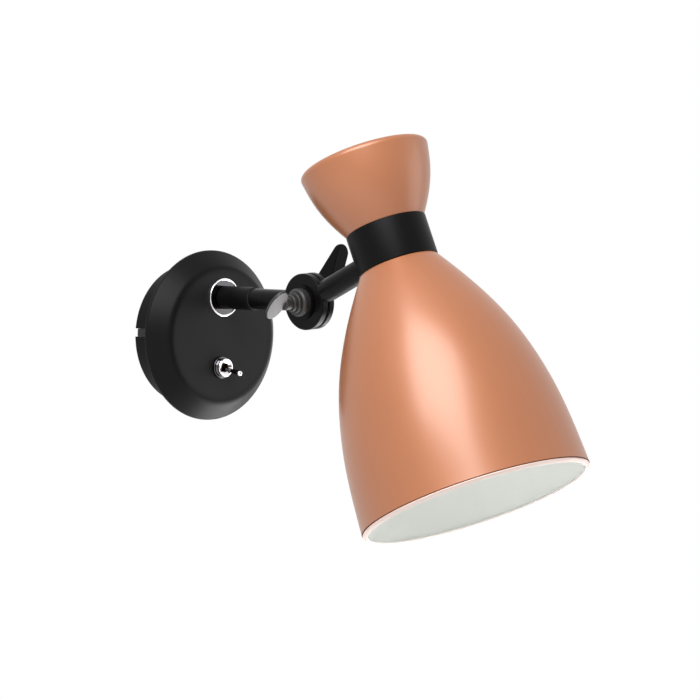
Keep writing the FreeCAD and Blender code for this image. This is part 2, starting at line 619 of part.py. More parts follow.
def clamp_lever():
    """Lever nut on the far end of the pivot bolt: round nut with one leaning wing."""
    seat = FAR_FACE + SEAT_GAP
    nut = rod(LEVER_NUT_RADIUS, PIVOT + ACROSS * seat, ACROSS, LEVER_NUT_RISE)
    nut = round_edges(nut, LEVER_NUT_ROUND,
                      lambda edge: is_ring(edge, LEVER_NUT_RADIUS, ACROSS, seat + LEVER_NUT_RISE))
    wing = upright_wing()
    wing.rotate(V(0, 0, 0), V(0, 1, 0), WING_LEAN)
    wing.translate(PIVOT + ACROSS * (seat + WING_ROOT_HEIGHT))
    hole = rod(PIVOT_RADIUS + RUNNING_GAP, PIVOT + ACROSS * seat, ACROSS, LEVER_NUT_RISE - LEVER_NUT_FLOOR)
    behind = rod(WING_REACH, PIVOT - ACROSS * WING_REACH, ACROSS, WING_REACH + seat)
    return nut.fuse(wing).cut([hole, behind]).removeSplitter()


def upright_wing():
    """The clamp lever's wing, standing up: a blade with a round end, and a wedge when seen from its edge."""
    top = WING_REACH + WING_TIP_RADIUS
    root, tip = WING_ROOT_THICKNESS / 2, WING_TIP_THICKNESS / 2
    blade = Part.makeBox(2 * WING_TIP_RADIUS, WING_ROOT_THICKNESS, WING_REACH, V(-WING_TIP_RADIUS, -root, 0))
    blade = blade.fuse(rod(WING_TIP_RADIUS, V(0, root, WING_REACH), OUT, WING_ROOT_THICKNESS))
    side = [V(-WING_TIP_RADIUS, y, z)
            for y, z in ((-root, 0), (-root, WING_SHOULDER), (-tip, top), (tip, top), (root, WING_SHOULDER), (root, 0))]
    wedge = Part.Face(Part.makePolygon(side + side[:1])).extrude(ACROSS * 2 * WING_TIP_RADIUS)
    wing = blade.removeSplitter().common(wedge)
    return round_edges(wing, WING_EDGE,
                       lambda edge: edge.BoundBox.ZMax > WING_SHOULDER and edge.Length > WING_EDGE)


# ---------------------------------------------------------------- head arm

def upper_knuckle():
    """Far half of the knuckle with the socket neck that the head tube is pressed into."""
    half = knuckle_half(1, FAR_DISC, TUBE_RADIUS, OUT, NECK_END)
    socket = rod(TUBE_BORE + FIT_GAP, PIVOT + OUT * (NECK_END - SPIGOT_DEPTH), OUT, SPIGOT_DEPTH)
    return half.cut(socket).removeSplitter()


def head_tube():
    """Tube from the knuckle to the collar: a spigot into the knuckle and a threaded stud into the collar."""
    start = PIVOT + OUT * NECK_END
    length = HEAD_REACH - COLLAR_RADIUS - NECK_END
    body = rod(TUBE_RADIUS, start, OUT, length + COLLAR_WALL)
    body = body.cut(rod(COLLAR_RADIUS + FIT_GAP, HEAD_AXIS_BASE + UP * COLLAR_BOTTOM, UP,
                        COLLAR_TOP - COLLAR_BOTTOM))
    spigot = rod(TUBE_BORE, start + OUT * JOIN, -OUT, SPIGOT_DEPTH - SPIGOT_SHORT + JOIN)
    stud = rod(HEAD_STUD_RADIUS, start, OUT, length + COLLAR_WALL + HEAD_NUT_THICKNESS + HEAD_STUD_END)
    bore = rod(TUBE_CABLE_RADIUS, start - OUT * SPIGOT_DEPTH, OUT, HEAD_REACH)
    return body.fuse([spigot, stud]).cut(bore).removeSplitter()


def head_nut():
    """Nut inside the collar on the head tube's stud."""
    face = HEAD_REACH - math.sqrt((COLLAR_RADIUS - COLLAR_WALL) ** 2 - HEAD_NUT_RADIUS ** 2)
    start = PIVOT + OUT * face
    nut = hexagon(HEAD_NUT_RADIUS, start, OUT, HEAD_NUT_THICKNESS)
    return nut.cut(rod(HEAD_STUD_RADIUS + FIT_GAP, start, OUT, HEAD_NUT_THICKNESS))


# ---------------------------------------------------------------- head

def on_head(height, radius=0.0):
    """A point on the head's half section at a height above the arm's axis."""
    return HEAD_AXIS_BASE + V(radius, 0, height)


def collar():
    """Black collar between bell and cap, with a web that the nipple stands in."""
    height = COLLAR_TOP - COLLAR_BOTTOM
    ring = tube(COLLAR_RADIUS, COLLAR_RADIUS - COLLAR_WALL, on_head(COLLAR_BOTTOM), UP, height)
    rims = [edge for edge in ring.Edges if isinstance(edge.Curve, Part.Circle)
            and abs(edge.Curve.Radius - COLLAR_RADIUS) < 1e-3]
    ring = ring.makeFillet(COLLAR_EDGE, rims)
    web = tube(COLLAR_RADIUS - COLLAR_WALL + JOIN, NIPPLE_RADIUS + FIT_GAP,
               on_head(COLLAR_WEB_TOP - COLLAR_WEB), UP, COLLAR_WEB)
    hole = rod(HEAD_STUD_RADIUS + FIT_GAP, HEAD_AXIS_BASE, -OUT, COLLAR_RADIUS)
    return ring.fuse(web).cut(hole).removeSplitter()


def hermite(points, tangents):
    """A smooth curve through points with a direction at each."""
    curve = Part.BSplineCurve()
    curve.interpolate(Points=points, Tangents=tangents, TangentFlags=[True] * len(points))
    return curve.toShape()


def shade_curve(stations, base, sense, inset):
    """The shade's profile, moved inward by an inset: one span between each pair of stations."""
    points, tangents = [], []
    for radius, travel, lean in stations:
        turn = math.radians(lean)
        normal = V(-math.cos(turn), 0, math.sin(turn) * sense)
        points.append(on_head(base + sense * travel, radius) + normal * inset)
        tangents.append(V(math.sin(turn), 0, math.cos(turn) * sense))
    spans = []
    for k in range(len(points) - 1):
        chord = (points[k + 1] - points[k]).Length
        spans.append(hermite(points[k:k + 2], [tangents[k] * chord, tangents[k + 1] * chord]))
    return spans, points


def turned(edges):
    """A solid turned about the head's axis."""
    return revolved(edges, HEAD_AXIS_BASE, UP)


def line_through(points):
    """Straight edges through a row of points."""
    return [Part.makeLine(a, b) for a, b in zip(points, points[1:])]


def shade_bell():
    """Spun bell: neck flange inside the collar, flowing wall and a lip turned in at the mouth."""
    base = COLLAR_BOTTOM
    outer, outer_points = shade_curve(BELL_STATIONS, base, -1, 0.0)
    inner, inner_points = shade_curve(BELL_STATIONS, base, -1, SHADE_WALL)
    seat_radius = COLLAR_RADIUS - COLLAR_WALL - FIT_GAP
    seat_top = base + SHADE_SEAT
    flange_radius = NIPPLE_RADIUS + FIT_GAP
    lip_outer = outer_points[-1] - BELL_LIP
    lip_inner = lip_outer + V(-LIP_EDGE_SLOPE, 0, SHADE_WALL)
    outline = outer + line_through([outer_points[-1], lip_outer, lip_inner, inner_points[-1]]) + inner
    under = seat_top - SHADE_WALL
    top = [inner_points[0], on_head(base, seat_radius - SHADE_WALL), on_head(under, seat_radius - SHADE_WALL),
           on_head(under, flange_radius), on_head(seat_top, flange_radius), on_head(seat_top, seat_radius),
           on_head(base, seat_radius), outer_points[0]]
    return turned(outline + line_through(top))


def shade_cap():
    """Spun upper cone: closed crown with a rounded edge, and a neck that stands on the collar's web."""
    base = COLLAR_TOP
    outer, outer_points = shade_curve(CAP_STATIONS, base, 1, 0.0)
    inner, inner_points = shade_curve(CAP_STATIONS, base, 1, SHADE_WALL)
    seat_radius = COLLAR_RADIUS - COLLAR_WALL - FIT_GAP
    crown = base + CAP_HEIGHT
    shell = []
    for edges, points, inset in ((outer, outer_points, 0.0), (inner, inner_points, SHADE_WALL)):
        end = points[-1]
        finish = V(end.x - CAP_CORNER + inset, end.y, crown - inset + HEAD_AXIS_BASE.z)
        bend = V(end.x - (end.x - finish.x) * ARC_MIDDLE, end.y, finish.z - (finish.z - end.z) * ARC_MIDDLE)
        shell += edges + [Part.Arc(end, bend, finish).toShape()]
        shell += line_through([finish, on_head(crown - inset)])
    shell += line_through([on_head(crown), on_head(crown - SHADE_WALL)])
    neck = [inner_points[0], on_head(base, seat_radius - SHADE_WALL),
            on_head(COLLAR_WEB_TOP + SHADE_WALL, seat_radius - SHADE_WALL),
            on_head(COLLAR_WEB_TOP + SHADE_WALL, NIPPLE_RADIUS + FIT_GAP),
            on_head(COLLAR_WEB_TOP, NIPPLE_RADIUS + FIT_GAP), on_head(COLLAR_WEB_TOP, seat_radius),
            on_head(base, seat_radius), outer_points[0]]
    return turned(shell + line_through(neck))


def holder_top():
    """Height of the lampholder's top: under the bell's flange."""
    return COLLAR_BOTTOM + SHADE_SEAT - SHADE_WALL


def nipple():
    """Hollow threaded rod that ties cap, collar, bell and lampholder together."""
    bottom = holder_top() - NIPPLE_GRIP
    top = COLLAR_WEB_TOP + SHADE_WALL + 2 * NIPPLE_NUT
    rod_body = tube(NIPPLE_RADIUS, NIPPLE_BORE, on_head(bottom), UP, top - bottom)
    return rod_body.cut(rod(NIPPLE_WINDOW, HEAD_AXIS_BASE, -OUT, 2 * NIPPLE_RADIUS))


def nipple_nuts():
    """Nuts on the nipple: one over the cap's flange and one over the bell's."""
    nuts = []
    for height in (COLLAR_WEB_TOP + SHADE_WALL, COLLAR_BOTTOM + SHADE_SEAT):
        nut = hexagon(NIPPLE_NUT_RADIUS, on_head(height), UP, NIPPLE_NUT)
        nuts.append(nut.cut(rod(NIPPLE_RADIUS + FIT_GAP, on_head(height), UP, NIPPLE_NUT)))
    return Part.makeCompound(nuts)


def holder_cap():
    """Domed top half of the lampholder, screwed on the nipple."""
    top = holder_top()
    body = rod(HOLDER_RADIUS, on_head(top), -UP, HOLDER_CAP_LENGTH)
    body = round_edges(body, HOLDER_ROUND,
                       lambda edge: is_ring(edge, HOLDER_RADIUS, UP, HEAD_AXIS_BASE.z + top))
    hollow = rod(HOLDER_RADIUS - HOLDER_WALL, on_head(top - HOLDER_CROWN), -UP, HOLDER_CAP_LENGTH)
    return body.cut([hollow, rod(NIPPLE_RADIUS + FIT_GAP, on_head(top), -UP, HOLDER_CAP_LENGTH)])


def holder_shell():
    """Lower skirt of the lampholder, around the lamp's thread."""
    top = holder_top() - HOLDER_CAP_LENGTH
    length = HOLDER_LENGTH - HOLDER_CAP_LENGTH
    skirt = tube(HOLDER_RADIUS, HOLDER_RADIUS - HOLDER_WALL, on_head(top), -UP, length)
    lip = tube(HOLDER_RADIUS - HOLDER_WALL / 2, LAMP_THREAD_RADIUS + THREAD_SHELL_WALL + SEAT_GAP,
               on_head(top - length + HOLDER_WALL), -UP, HOLDER_WALL)
    grip = tube(HOLDER_RADIUS + HOLDER_GRIP_PROUD, HOLDER_RADIUS - HOLDER_WALL,
                on_head(top - length + HOLDER_GRIP_RISE), -UP, HOLDER_GRIP_WIDTH)
    return skirt.fuse([lip, grip]).removeSplitter()


def holder_core():
    """Ceramic core: carries the thread shell and the centre contact."""
    top = holder_top() - HOLDER_CROWN - CORE_GAP
    bottom = holder_top() - HOLDER_LENGTH + HOLDER_WALL
    core = rod(HOLDER_CORE_RADIUS, on_head(top), -UP, top - bottom)
    well = rod(LAMP_THREAD_RADIUS + THREAD_SHELL_WALL + FIT_GAP, on_head(bottom), UP, LAMP_WELL_DEPTH)
    return core.cut(well)


def thread_shell():
    """Screw shell that the lamp turns into."""
    bottom = holder_top() - HOLDER_LENGTH + HOLDER_WALL
    return tube(LAMP_THREAD_RADIUS + THREAD_SHELL_WALL, LAMP_THREAD_RADIUS, on_head(bottom), UP,
                LAMP_THREAD_LENGTH)


def centre_contact():
    """Sprung centre contact at the bottom of the lampholder's well."""
    floor = holder_top() - HOLDER_LENGTH + HOLDER_WALL + LAMP_WELL_DEPTH
    strip = centred_box(CONTACT_STRIP, on_head(floor - CONTACT_STRIP.z / 2))
    button = rod(CONTACT_RADIUS, on_head(floor - CONTACT_RISE), UP, CONTACT_RISE)
    return strip.fuse(button).removeSplitter()


# ---------------------------------------------------------------- assembly

def place_on_swivel(shape):
    """Turns a shape of the swivelling arm to its rest angle."""
    shape.rotate(ARM_AXIS, OUT, REST_SWIVEL)
    return shape


def place_on_head(shape):
    """Tilts a shape of the head about the knuckle, then swivels it with the arm."""
    shape.rotate(PIVOT, ACROSS, -REST_TILT)
    return place_on_swivel(shape)


def keep(shape):
    """A piece of the fixed rose stays where it is modelled."""
    return shape


ROSE = (wall_bracket, rose_drum, drum_screws, rose_cover, cover_screws, terminal_block, terminal_screws,
        earth_screw, switch_body, switch_bushing, switch_nuts, switch_lever, escutcheon, arm_socket,
        socket_nut)
SWIVEL_ARM = (lower_knuckle, swivel_ring, friction_washer, pivot_boss, jam_nuts, thumb_screw, clamp_lever)
HEAD = (upper_knuckle, head_tube, head_nut, collar, shade_bell, shade_cap, nipple, nipple_nuts, holder_cap,
        holder_shell, holder_core, thread_shell, centre_contact)


def main():
    """Builds every piece and writes one file for each."""
    os.makedirs("parts", exist_ok=True)
    for pieces, place in ((ROSE, keep), (SWIVEL_ARM, place_on_swivel), (HEAD, place_on_head)):
        for piece in pieces:
            shape = place(piece())
            shape.exportStep("parts/" + piece.__name__ + ".step")
            print(piece.__name__, shape.ShapeType, len(shape.Solids), shape.isValid(), round(shape.Volume, 1))


main()
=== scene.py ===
"""Looks of the bedside wall reading lamp: its finishes, its finer turned pieces, the studio and the camera."""

import json
import logging
import math
from dataclasses import dataclass, field
from enum import Enum
from typing import Callable, Optional, Sequence

import bpy
from mathutils import Matrix, Vector


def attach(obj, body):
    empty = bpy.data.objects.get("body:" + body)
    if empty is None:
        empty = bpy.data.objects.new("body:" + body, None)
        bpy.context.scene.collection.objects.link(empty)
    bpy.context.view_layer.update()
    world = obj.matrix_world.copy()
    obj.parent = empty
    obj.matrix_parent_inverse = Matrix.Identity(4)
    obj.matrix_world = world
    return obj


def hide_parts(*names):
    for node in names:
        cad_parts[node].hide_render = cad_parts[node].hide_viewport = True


MM = 0.001
TURN_STEPS = 144
HOLE_STEPS = 64
WELD = 1e-4
TURNED_SMOOTH = 32.0

PATCH_DETAIL = 3.0
GRAIN_DETAIL = 4.0
GRAIN_SPAN = (0.3, 0.7)
RELIEF = 0.0002

Colour = tuple[float, float, float]
Outline = list[tuple[float, float]]
FaceTest = Callable[[Vector, Vector], bool]

log = logging.getLogger("reading_lamp")


# ---------------------------------------------------------------- finishes

class Sheen(Enum):
    """How a finish throws light back."""

    PAINT = 0.0
    METAL = 1.0


@dataclass(frozen=True)
class Finish:
    """A surface finish: two close colours mixed by broad patches, or by a soft ring that paints light and shade, and a
    fine grain in its roughness and bump."""

    name: str
    colour: Colour
    shade: Colour
    sheen: Sheen
    smooth: float
    rough: float
    grain: float
    bump: float
    patch: float = 18.0
    coat: float = 0.0
    coat_roughness: float = 0.2
    coat_ior: float = 1.5
    metal: Optional[float] = None
    specular: float = 0.5
    ior: float = 1.5
    # Radii of a soft ring of painted light and shade: the first colour inside the first radius, the second outside the
    # second.
    painted_light_ring: Optional[tuple[float, float]] = None

    def material(self) -> bpy.types.Material:
        """Builds the node material, or returns the one already built.

        Returns:
            The material named after this finish.
        """
        known = bpy.data.materials.get(self.name)
        if known is not None:
            return known
        made = bpy.data.materials.new(self.name)
        made.use_nodes = True
        nodes, links = made.node_tree.nodes, made.node_tree.links
        shader = nodes["Principled BSDF"]
        shader.inputs["Metallic"].default_value = self.sheen.value if self.metal is None else self.metal
        shader.inputs["IOR"].default_value = self.ior
        shader.inputs["Coat IOR"].default_value = self.coat_ior
        shader.inputs["Coat Weight"].default_value = self.coat
        shader.inputs["Coat Roughness"].default_value = self.coat_roughness
        shader.inputs["Specular IOR Level"].default_value = self.specular
        place = nodes.new("ShaderNodeTexCoord")
        cloud = self._noise(made, place, self.patch, PATCH_DETAIL) if self.painted_light_ring is None else self._ring(made, place)
        grain = self._noise(made, place, self.grain, GRAIN_DETAIL)
        mix = nodes.new("ShaderNodeMix")
        mix.data_type = "RGBA"
        mix.inputs["A"].default_value = (*self.colour, 1.0)
        mix.inputs["B"].default_value = (*self.shade, 1.0)
        links.new(cloud.outputs[0], mix.inputs["Factor"])
        links.new(mix.outputs["Result"], shader.inputs["Base Color"])
        polish = nodes.new("ShaderNodeMapRange")
        polish.inputs["From Min"].default_value, polish.inputs["From Max"].default_value = GRAIN_SPAN
        polish.inputs["To Min"].default_value = self.smooth
        polish.inputs["To Max"].default_value = self.rough
        links.new(grain.outputs["Fac"], polish.inputs["Value"])
        links.new(polish.outputs["Result"], shader.inputs["Roughness"])
        relief = nodes.new("ShaderNodeBump")
        relief.inputs["Strength"].default_value = self.bump
        relief.inputs["Distance"].default_value = RELIEF
        links.new(grain.outputs["Fac"], relief.inputs["Height"])
        links.new(relief.outputs["Normal"], shader.inputs["Normal"])
        return made

    def _ring(self, made: bpy.types.Material, place: bpy.types.Node) -> bpy.types.Node:
        """Adds a soft ring of painted light and shade: 0 inside the ring's first radius and 1 outside its second, about
        the wall's normal.

        Args:
            made: The material it belongs to.
            place: The texture coordinates.

        Returns:
            The node with the ring's factor.
        """
        nodes, links = made.node_tree.nodes, made.node_tree.links
        flat = nodes.new("ShaderNodeVectorMath")
        flat.operation = "MULTIPLY"
        flat.inputs[1].default_value = (1.0, 0.0, 1.0)
        links.new(place.outputs["Object"], flat.inputs[0])
        length = nodes.new("ShaderNodeVectorMath")
        length.operation = "LENGTH"
        links.new(flat.outputs["Vector"], length.inputs[0])
        soft = nodes.new("ShaderNodeMapRange")
        soft.interpolation_type = "SMOOTHSTEP"
        soft.inputs["From Min"].default_value, soft.inputs["From Max"].default_value = self.painted_light_ring
        links.new(length.outputs["Value"], soft.inputs["Value"])
        return soft

    @staticmethod
    def _noise(made: bpy.types.Material, place: bpy.types.Node, scale: float, detail: float) -> bpy.types.Node:
        """Adds a noise texture.

        Args:
            made: The material it belongs to.
            place: The texture coordinates.
            scale: Its scale per metre.
            detail: Its octaves.

        Returns:
            The noise node.
        """
        noise = made.node_tree.nodes.new("ShaderNodeTexNoise")
        noise.inputs["Scale"].default_value = scale
        noise.inputs["Detail"].default_value = detail
        made.node_tree.links.new(place.outputs["Object"], noise.inputs["Vector"])
        return noise


POWDER_BLACK = Finish("powder_black", (0.0018, 0.0018, 0.0021), (0.0028, 0.0028, 0.0031), Sheen.PAINT,
                      0.34, 0.46, 2600.0, 0.14, ior=1.18)
# The cover's black: its flat face is painted lighter as a painted highlight and its bevel darker as painted shade,
# blended by a soft ring.
COVER_BLACK_LIT_FACE_SHADED_BEVEL = Finish("cover_black_lit_face_shaded_bevel", (0.0115, 0.0115, 0.0122), (0.0020, 0.0020, 0.0024), Sheen.PAINT,
                    0.36, 0.46, 2400.0, 0.16, specular=0.11, painted_light_ring=(0.0385, 0.0445))
SATIN_BLACK = Finish("satin_black", (0.0020, 0.0020, 0.0023), (0.0030, 0.0030, 0.0033), Sheen.PAINT,
                     0.22, 0.32, 2000.0, 0.08, ior=1.19)
DEEP_BLACK = Finish("deep_black", (0.0012, 0.0012, 0.0013), (0.0018, 0.0018, 0.0020), Sheen.PAINT,
                    0.26, 0.36, 2400.0, 0.10, ior=1.12)
# Dark chrome: the finish of the switch nut and lever, and a painted dark reflection on the escutcheon's face.
DARK_CHROME_AND_DARK_REFLECTION = Finish("dark_chrome_and_painted_dark_reflection", (0.065, 0.065, 0.070), (0.100, 0.100, 0.105), Sheen.METAL,
                     0.06, 0.12, 600.0, 0.02, patch=40.0)
GLOSS_BLACK = Finish("gloss_black", (0.0010, 0.0010, 0.0012), (0.0016, 0.0016, 0.0018), Sheen.PAINT,
                     0.06, 0.10, 900.0, 0.02, ior=1.11)
SATIN_COPPER = Finish("satin_copper", (0.355, 0.122, 0.047), (0.395, 0.142, 0.057), Sheen.METAL,
                      0.46, 0.54, 3200.0, 0.04, patch=9.0, coat=0.65, coat_roughness=0.30, coat_ior=1.75, metal=0.25,
                      ior=1.2)
# Pale pink band on the bell's copper lip: a painted reflection on the copper.
LIP_PAINTED_REFLECTION = Finish("lip_painted_reflection", (0.84, 0.66, 0.60), (0.88, 0.72, 0.66), Sheen.PAINT,
                   0.42, 0.52, 2000.0, 0.06, specular=0.2)
# Dark brown in the crease between the bell's wall and its lip: painted shade.
CREASE_PAINTED_SHADE = Finish("crease_painted_shade", (0.110, 0.026, 0.010), (0.150, 0.040, 0.016), Sheen.PAINT,
                      0.50, 0.60, 2000.0, 0.06, specular=0.1)
WHITE_ENAMEL = Finish("white_enamel", (0.88, 0.89, 0.86), (0.91, 0.92, 0.89), Sheen.PAINT,
                      0.50, 0.64, 1800.0, 0.08, specular=0.3)
# Bright chrome: the escutcheon's own finish, and a painted highlight on the switch bushing's nose and the lever's tip.
CHROME_AND_PAINTED_HIGHLIGHT = Finish("chrome_and_painted_highlight", (0.78, 0.78, 0.79), (0.84, 0.84, 0.85), Sheen.METAL,
                         0.05, 0.10, 600.0, 0.02)
# Light grey on the flat faces of the glossy black thumb screw head: a painted reflection.
SPADE_PAINTED_REFLECTION = Finish("spade_painted_reflection", (0.255, 0.255, 0.270), (0.290, 0.290, 0.305), Sheen.PAINT,
                      0.46, 0.54, 1200.0, 0.02, specular=0.12)
ZINC_PLATE = Finish("zinc_plate", (0.48, 0.48, 0.47), (0.58, 0.58, 0.57), Sheen.METAL,
                    0.30, 0.45, 1500.0, 0.12, patch=60.0)
DARK_ZINC = Finish("dark_zinc", (0.030, 0.031, 0.031), (0.045, 0.046, 0.046), Sheen.METAL,
                   0.42, 0.60, 1500.0, 0.14, patch=60.0)
PLAIN_BRASS = Finish("plain_brass", (0.60, 0.38, 0.13), (0.68, 0.45, 0.18), Sheen.METAL,
                     0.22, 0.34, 1500.0, 0.08)
BLACK_PLASTIC = Finish("black_plastic", (0.020, 0.020, 0.021), (0.028, 0.028, 0.029), Sheen.PAINT,
                       0.40, 0.55, 1700.0, 0.12)
WHITE_PLASTIC = Finish("white_plastic", (0.70, 0.70, 0.66), (0.76, 0.76, 0.72), Sheen.PAINT,
                       0.42, 0.54, 1600.0, 0.08)
CERAMIC = Finish("ceramic", (0.72, 0.69, 0.62), (0.79, 0.77, 0.71), Sheen.PAINT,
                 0.18, 0.30, 900.0, 0.06, coat=0.3)
FIBRE = Finish("fibre", (0.035, 0.016, 0.010), (0.060, 0.028, 0.018), Sheen.PAINT, 0.60, 0.80, 2200.0, 0.30)


# ---------------------------------------------------------------- modelling by hand

@dataclass(frozen=True)
class Seat:
    """A place on the lamp: an origin in metres and the direction that its own Z axis takes."""

    origin: Vector
    along: Vector
    side: Vector = field(default_factory=lambda: Vector((1.0, 0.0, 0.0)))

    def matrix(self) -> Matrix:
        """Returns the turn and place of this seat as a matrix."""
        z = self.along.normalized()
        x = (self.side - z * self.side.dot(z)).normalized()
        y = z.cross(x)
        turn = Matrix((x, y, z)).transposed().to_4x4()
        return Matrix.Translation(self.origin) @ turn

    def moved(self, distance_mm: float) -> "Seat":
        """Returns this seat moved along its own axis by some millimetres."""
        return Seat(self.origin + self.along.normalized() * distance_mm * MM, self.along, self.side)


@dataclass(frozen=True)
class Corner:
    """A corner of a half outline in millimetres: radius, height, and the radius it is rounded with."""

    r: float
    h: float
    fillet: float = 0.0


def rounded(corners: Sequence[Corner], steps: int = 6) -> Outline:
    """Rounds the corners of an open half outline with arcs.

    Args:
        corners: The corners in order. The first and last stay sharp.
        steps: How many spans each arc gets.

    Returns:
        The points of the outline.
    """
    points: Outline = [(corners[0].r, corners[0].h)]
    for before, here, after in zip(corners, corners[1:], corners[2:]):
        p = Vector((here.r, here.h))
        if here.fillet <= 0.0:
            points.append((p.x, p.y))
            continue
        to_before = (Vector((before.r, before.h)) - p).normalized()
        to_after = (Vector((after.r, after.h)) - p).normalized()
        half = to_before.angle(to_after) / 2
        reach = here.fillet / math.tan(half)
        centre = p + (to_before + to_after).normalized() * (here.fillet / math.sin(half))
        start = p + to_before * reach - centre
        finish = p + to_after * reach - centre
        sweep = start.angle_signed(finish)
        for k in range(steps + 1):
            spoke = start.copy()
            spoke.rotate(Matrix.Rotation(-sweep * k / steps, 2))
            points.append((centre.x + spoke.x, centre.y + spoke.y))
    points.append((corners[-1].r, corners[-1].h))
    return points


def flowing(stations: Sequence[tuple[float, float, float]], sense: float, inset: float, steps: int = 16) -> Outline:
    """A smooth half outline through stations.

    Args:
        stations: Radius, distance along the axis and lean from the axis in degrees, for each station.
        sense: 1.0 where the distances go up the axis, -1.0 where they go down.
        inset: How far the outline is moved inwards, in millimetres.
        steps: How many spans each stretch between two stations gets.

    Returns:
        The points of the outline, from the first station to the last.
    """
    places, leans = [], []
    for radius, travel, lean in stations:
        turn = math.radians(lean)
        places.append(Vector((radius - math.cos(turn) * inset, sense * (travel + math.sin(turn) * inset))))
        leans.append(Vector((math.sin(turn), sense * math.cos(turn))))
    points: Outline = [(places[0].x, places[0].y)]
    for a, b, lean_a, lean_b in zip(places, places[1:], leans, leans[1:]):
        pull = (b - a).length
        for k in range(1, steps + 1):
            t = k / steps
            spot = (a * (2 * t ** 3 - 3 * t ** 2 + 1) + lean_a * pull * (t ** 3 - 2 * t ** 2 + t)
                    + b * (-2 * t ** 3 + 3 * t ** 2) + lean_b * pull * (t ** 3 - t ** 2))
            points.append((spot.x, spot.y))
    return points


def bored(obj: bpy.types.Object, seat: Seat, radius: float, depth: float) -> None:
    """Cuts a round hole through a piece.

    Args:
        obj: The piece.
        seat: The hole's middle and direction.
        radius: Its radius, in millimetres.
        depth: How far the cut reaches, in millimetres.
    """
    deselect()
    bpy.ops.mesh.primitive_cylinder_add(vertices=HOLE_STEPS, radius=radius, depth=depth)
    cutter = settle(bpy.context.object, obj.name + "_hole", seat)
    deselect()
    bpy.context.view_layer.objects.active = obj
    obj.select_set(True)
    hole = obj.modifiers.new("hole", "BOOLEAN")
    hole.operation, hole.solver, hole.object = "DIFFERENCE", "EXACT", cutter
    bpy.ops.object.modifier_apply(modifier=hole.name)
    bpy.data.meshes.remove(cutter.data)


def deselect() -> None:
    """Leaves edit mode and selects nothing."""
    if bpy.context.object is not None and bpy.context.object.mode != "OBJECT":
        bpy.ops.object.mode_set(mode="OBJECT")
    bpy.ops.object.select_all(action="DESELECT")


def settle(obj: bpy.types.Object, name: str, seat: Seat) -> bpy.types.Object:
    """Names a shape modelled in millimetres about the origin and puts its place into its mesh.

    Args:
        obj: The shape.
        name: Its new name.
        seat: Where it goes.

    Returns:
        The same object, in metres, in the lamp's own frame.
    """
    deselect()
    obj.name = obj.data.name = name
    obj.matrix_world = seat.matrix() @ Matrix.Scale(MM, 4)
    obj.select_set(True)
    bpy.context.view_layer.objects.active = obj
    bpy.ops.object.transform_apply(location=True, rotation=True, scale=True)
    return obj


def turned(name: str, outline: Outline, seat: Seat, closed: bool = False) -> bpy.types.Object:
    """Turns a half outline into a solid of revolution.

    Args:
        name: The piece's name.
        outline: Radius and height of each point, in millimetres.
        seat: The axis that it turns about.
        closed: True where the outline's last point joins its first.

    Returns:
        The turned piece.
    """
    deselect()
    bpy.ops.mesh.primitive_plane_add(size=1.0)
    obj = bpy.context.object
    bpy.ops.object.mode_set(mode="EDIT")
    bpy.ops.mesh.select_all(action="SELECT")
    bpy.ops.mesh.merge(type="CENTER")
    spot = Vector((outline[0][0], 0.0, outline[0][1]))
    bpy.ops.transform.translate(value=spot)
    way = list(outline[1:]) + ([outline[0]] if closed else [])
    for r, h in way:
        step = Vector((r, 0.0, h)) - spot
        bpy.ops.mesh.extrude_region_move(TRANSFORM_OT_translate={"value": step})
        spot = spot + step
    bpy.ops.mesh.select_all(action="SELECT")
    bpy.ops.mesh.spin(steps=TURN_STEPS, angle=2 * math.pi, center=(0.0, 0.0, 0.0), axis=(0.0, 0.0, 1.0))
    bpy.ops.mesh.select_all(action="SELECT")
    bpy.ops.mesh.remove_doubles(threshold=WELD)
    bpy.ops.mesh.normals_make_consistent(inside=False)
    bpy.ops.object.mode_set(mode="OBJECT")
    settle(obj, name, seat)
    bpy.ops.object.shade_smooth_by_angle(angle=math.radians(TURNED_SMOOTH))
    return obj


def paint(obj: bpy.types.Object, finish: Finish, *others: tuple[Finish, FaceTest]) -> None:
    """Gives a piece its finish, and other finishes to the faces that pass their tests.

    Args:
        obj: The piece.
        finish: The finish of the whole piece.
        others: Further finishes, each with its test of a face. A face takes the first whose test it passes.
    """
    obj.data.materials.clear()
    for each in (finish, *(other for other, _ in others)):
        obj.data.materials.append(each.material())
    for face in obj.data.polygons:
        for index, (_, where) in enumerate(others, start=1):
            if where(face.center, face.normal):
                face.material_index = index
                break


def dress(node: str, finish: Finish) -> None:
    """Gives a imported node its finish.

    Args:
        node: The node's name.
        finish: The finish.
    """
    obj = NODES[node]
    deselect()
    obj.select_set(True)
    bpy.context.view_layer.objects.active = obj
    for slot in obj.material_slots:
        slot.material = finish.material()
    if not obj.material_slots:
        obj.data.materials.append(finish.material())
    log.info("dressed %s in %s", node, finish.name)


def fit(obj: bpy.types.Object, body: str, slot: str, *nodes: str) -> None:
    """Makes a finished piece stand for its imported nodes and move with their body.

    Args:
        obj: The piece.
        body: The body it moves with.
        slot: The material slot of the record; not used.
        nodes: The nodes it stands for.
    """
    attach(obj, body)
    if nodes:
        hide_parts(*nodes)
    log.info("fitted %s on %s", obj.name, body)


# ---------------------------------------------------------------- where things are

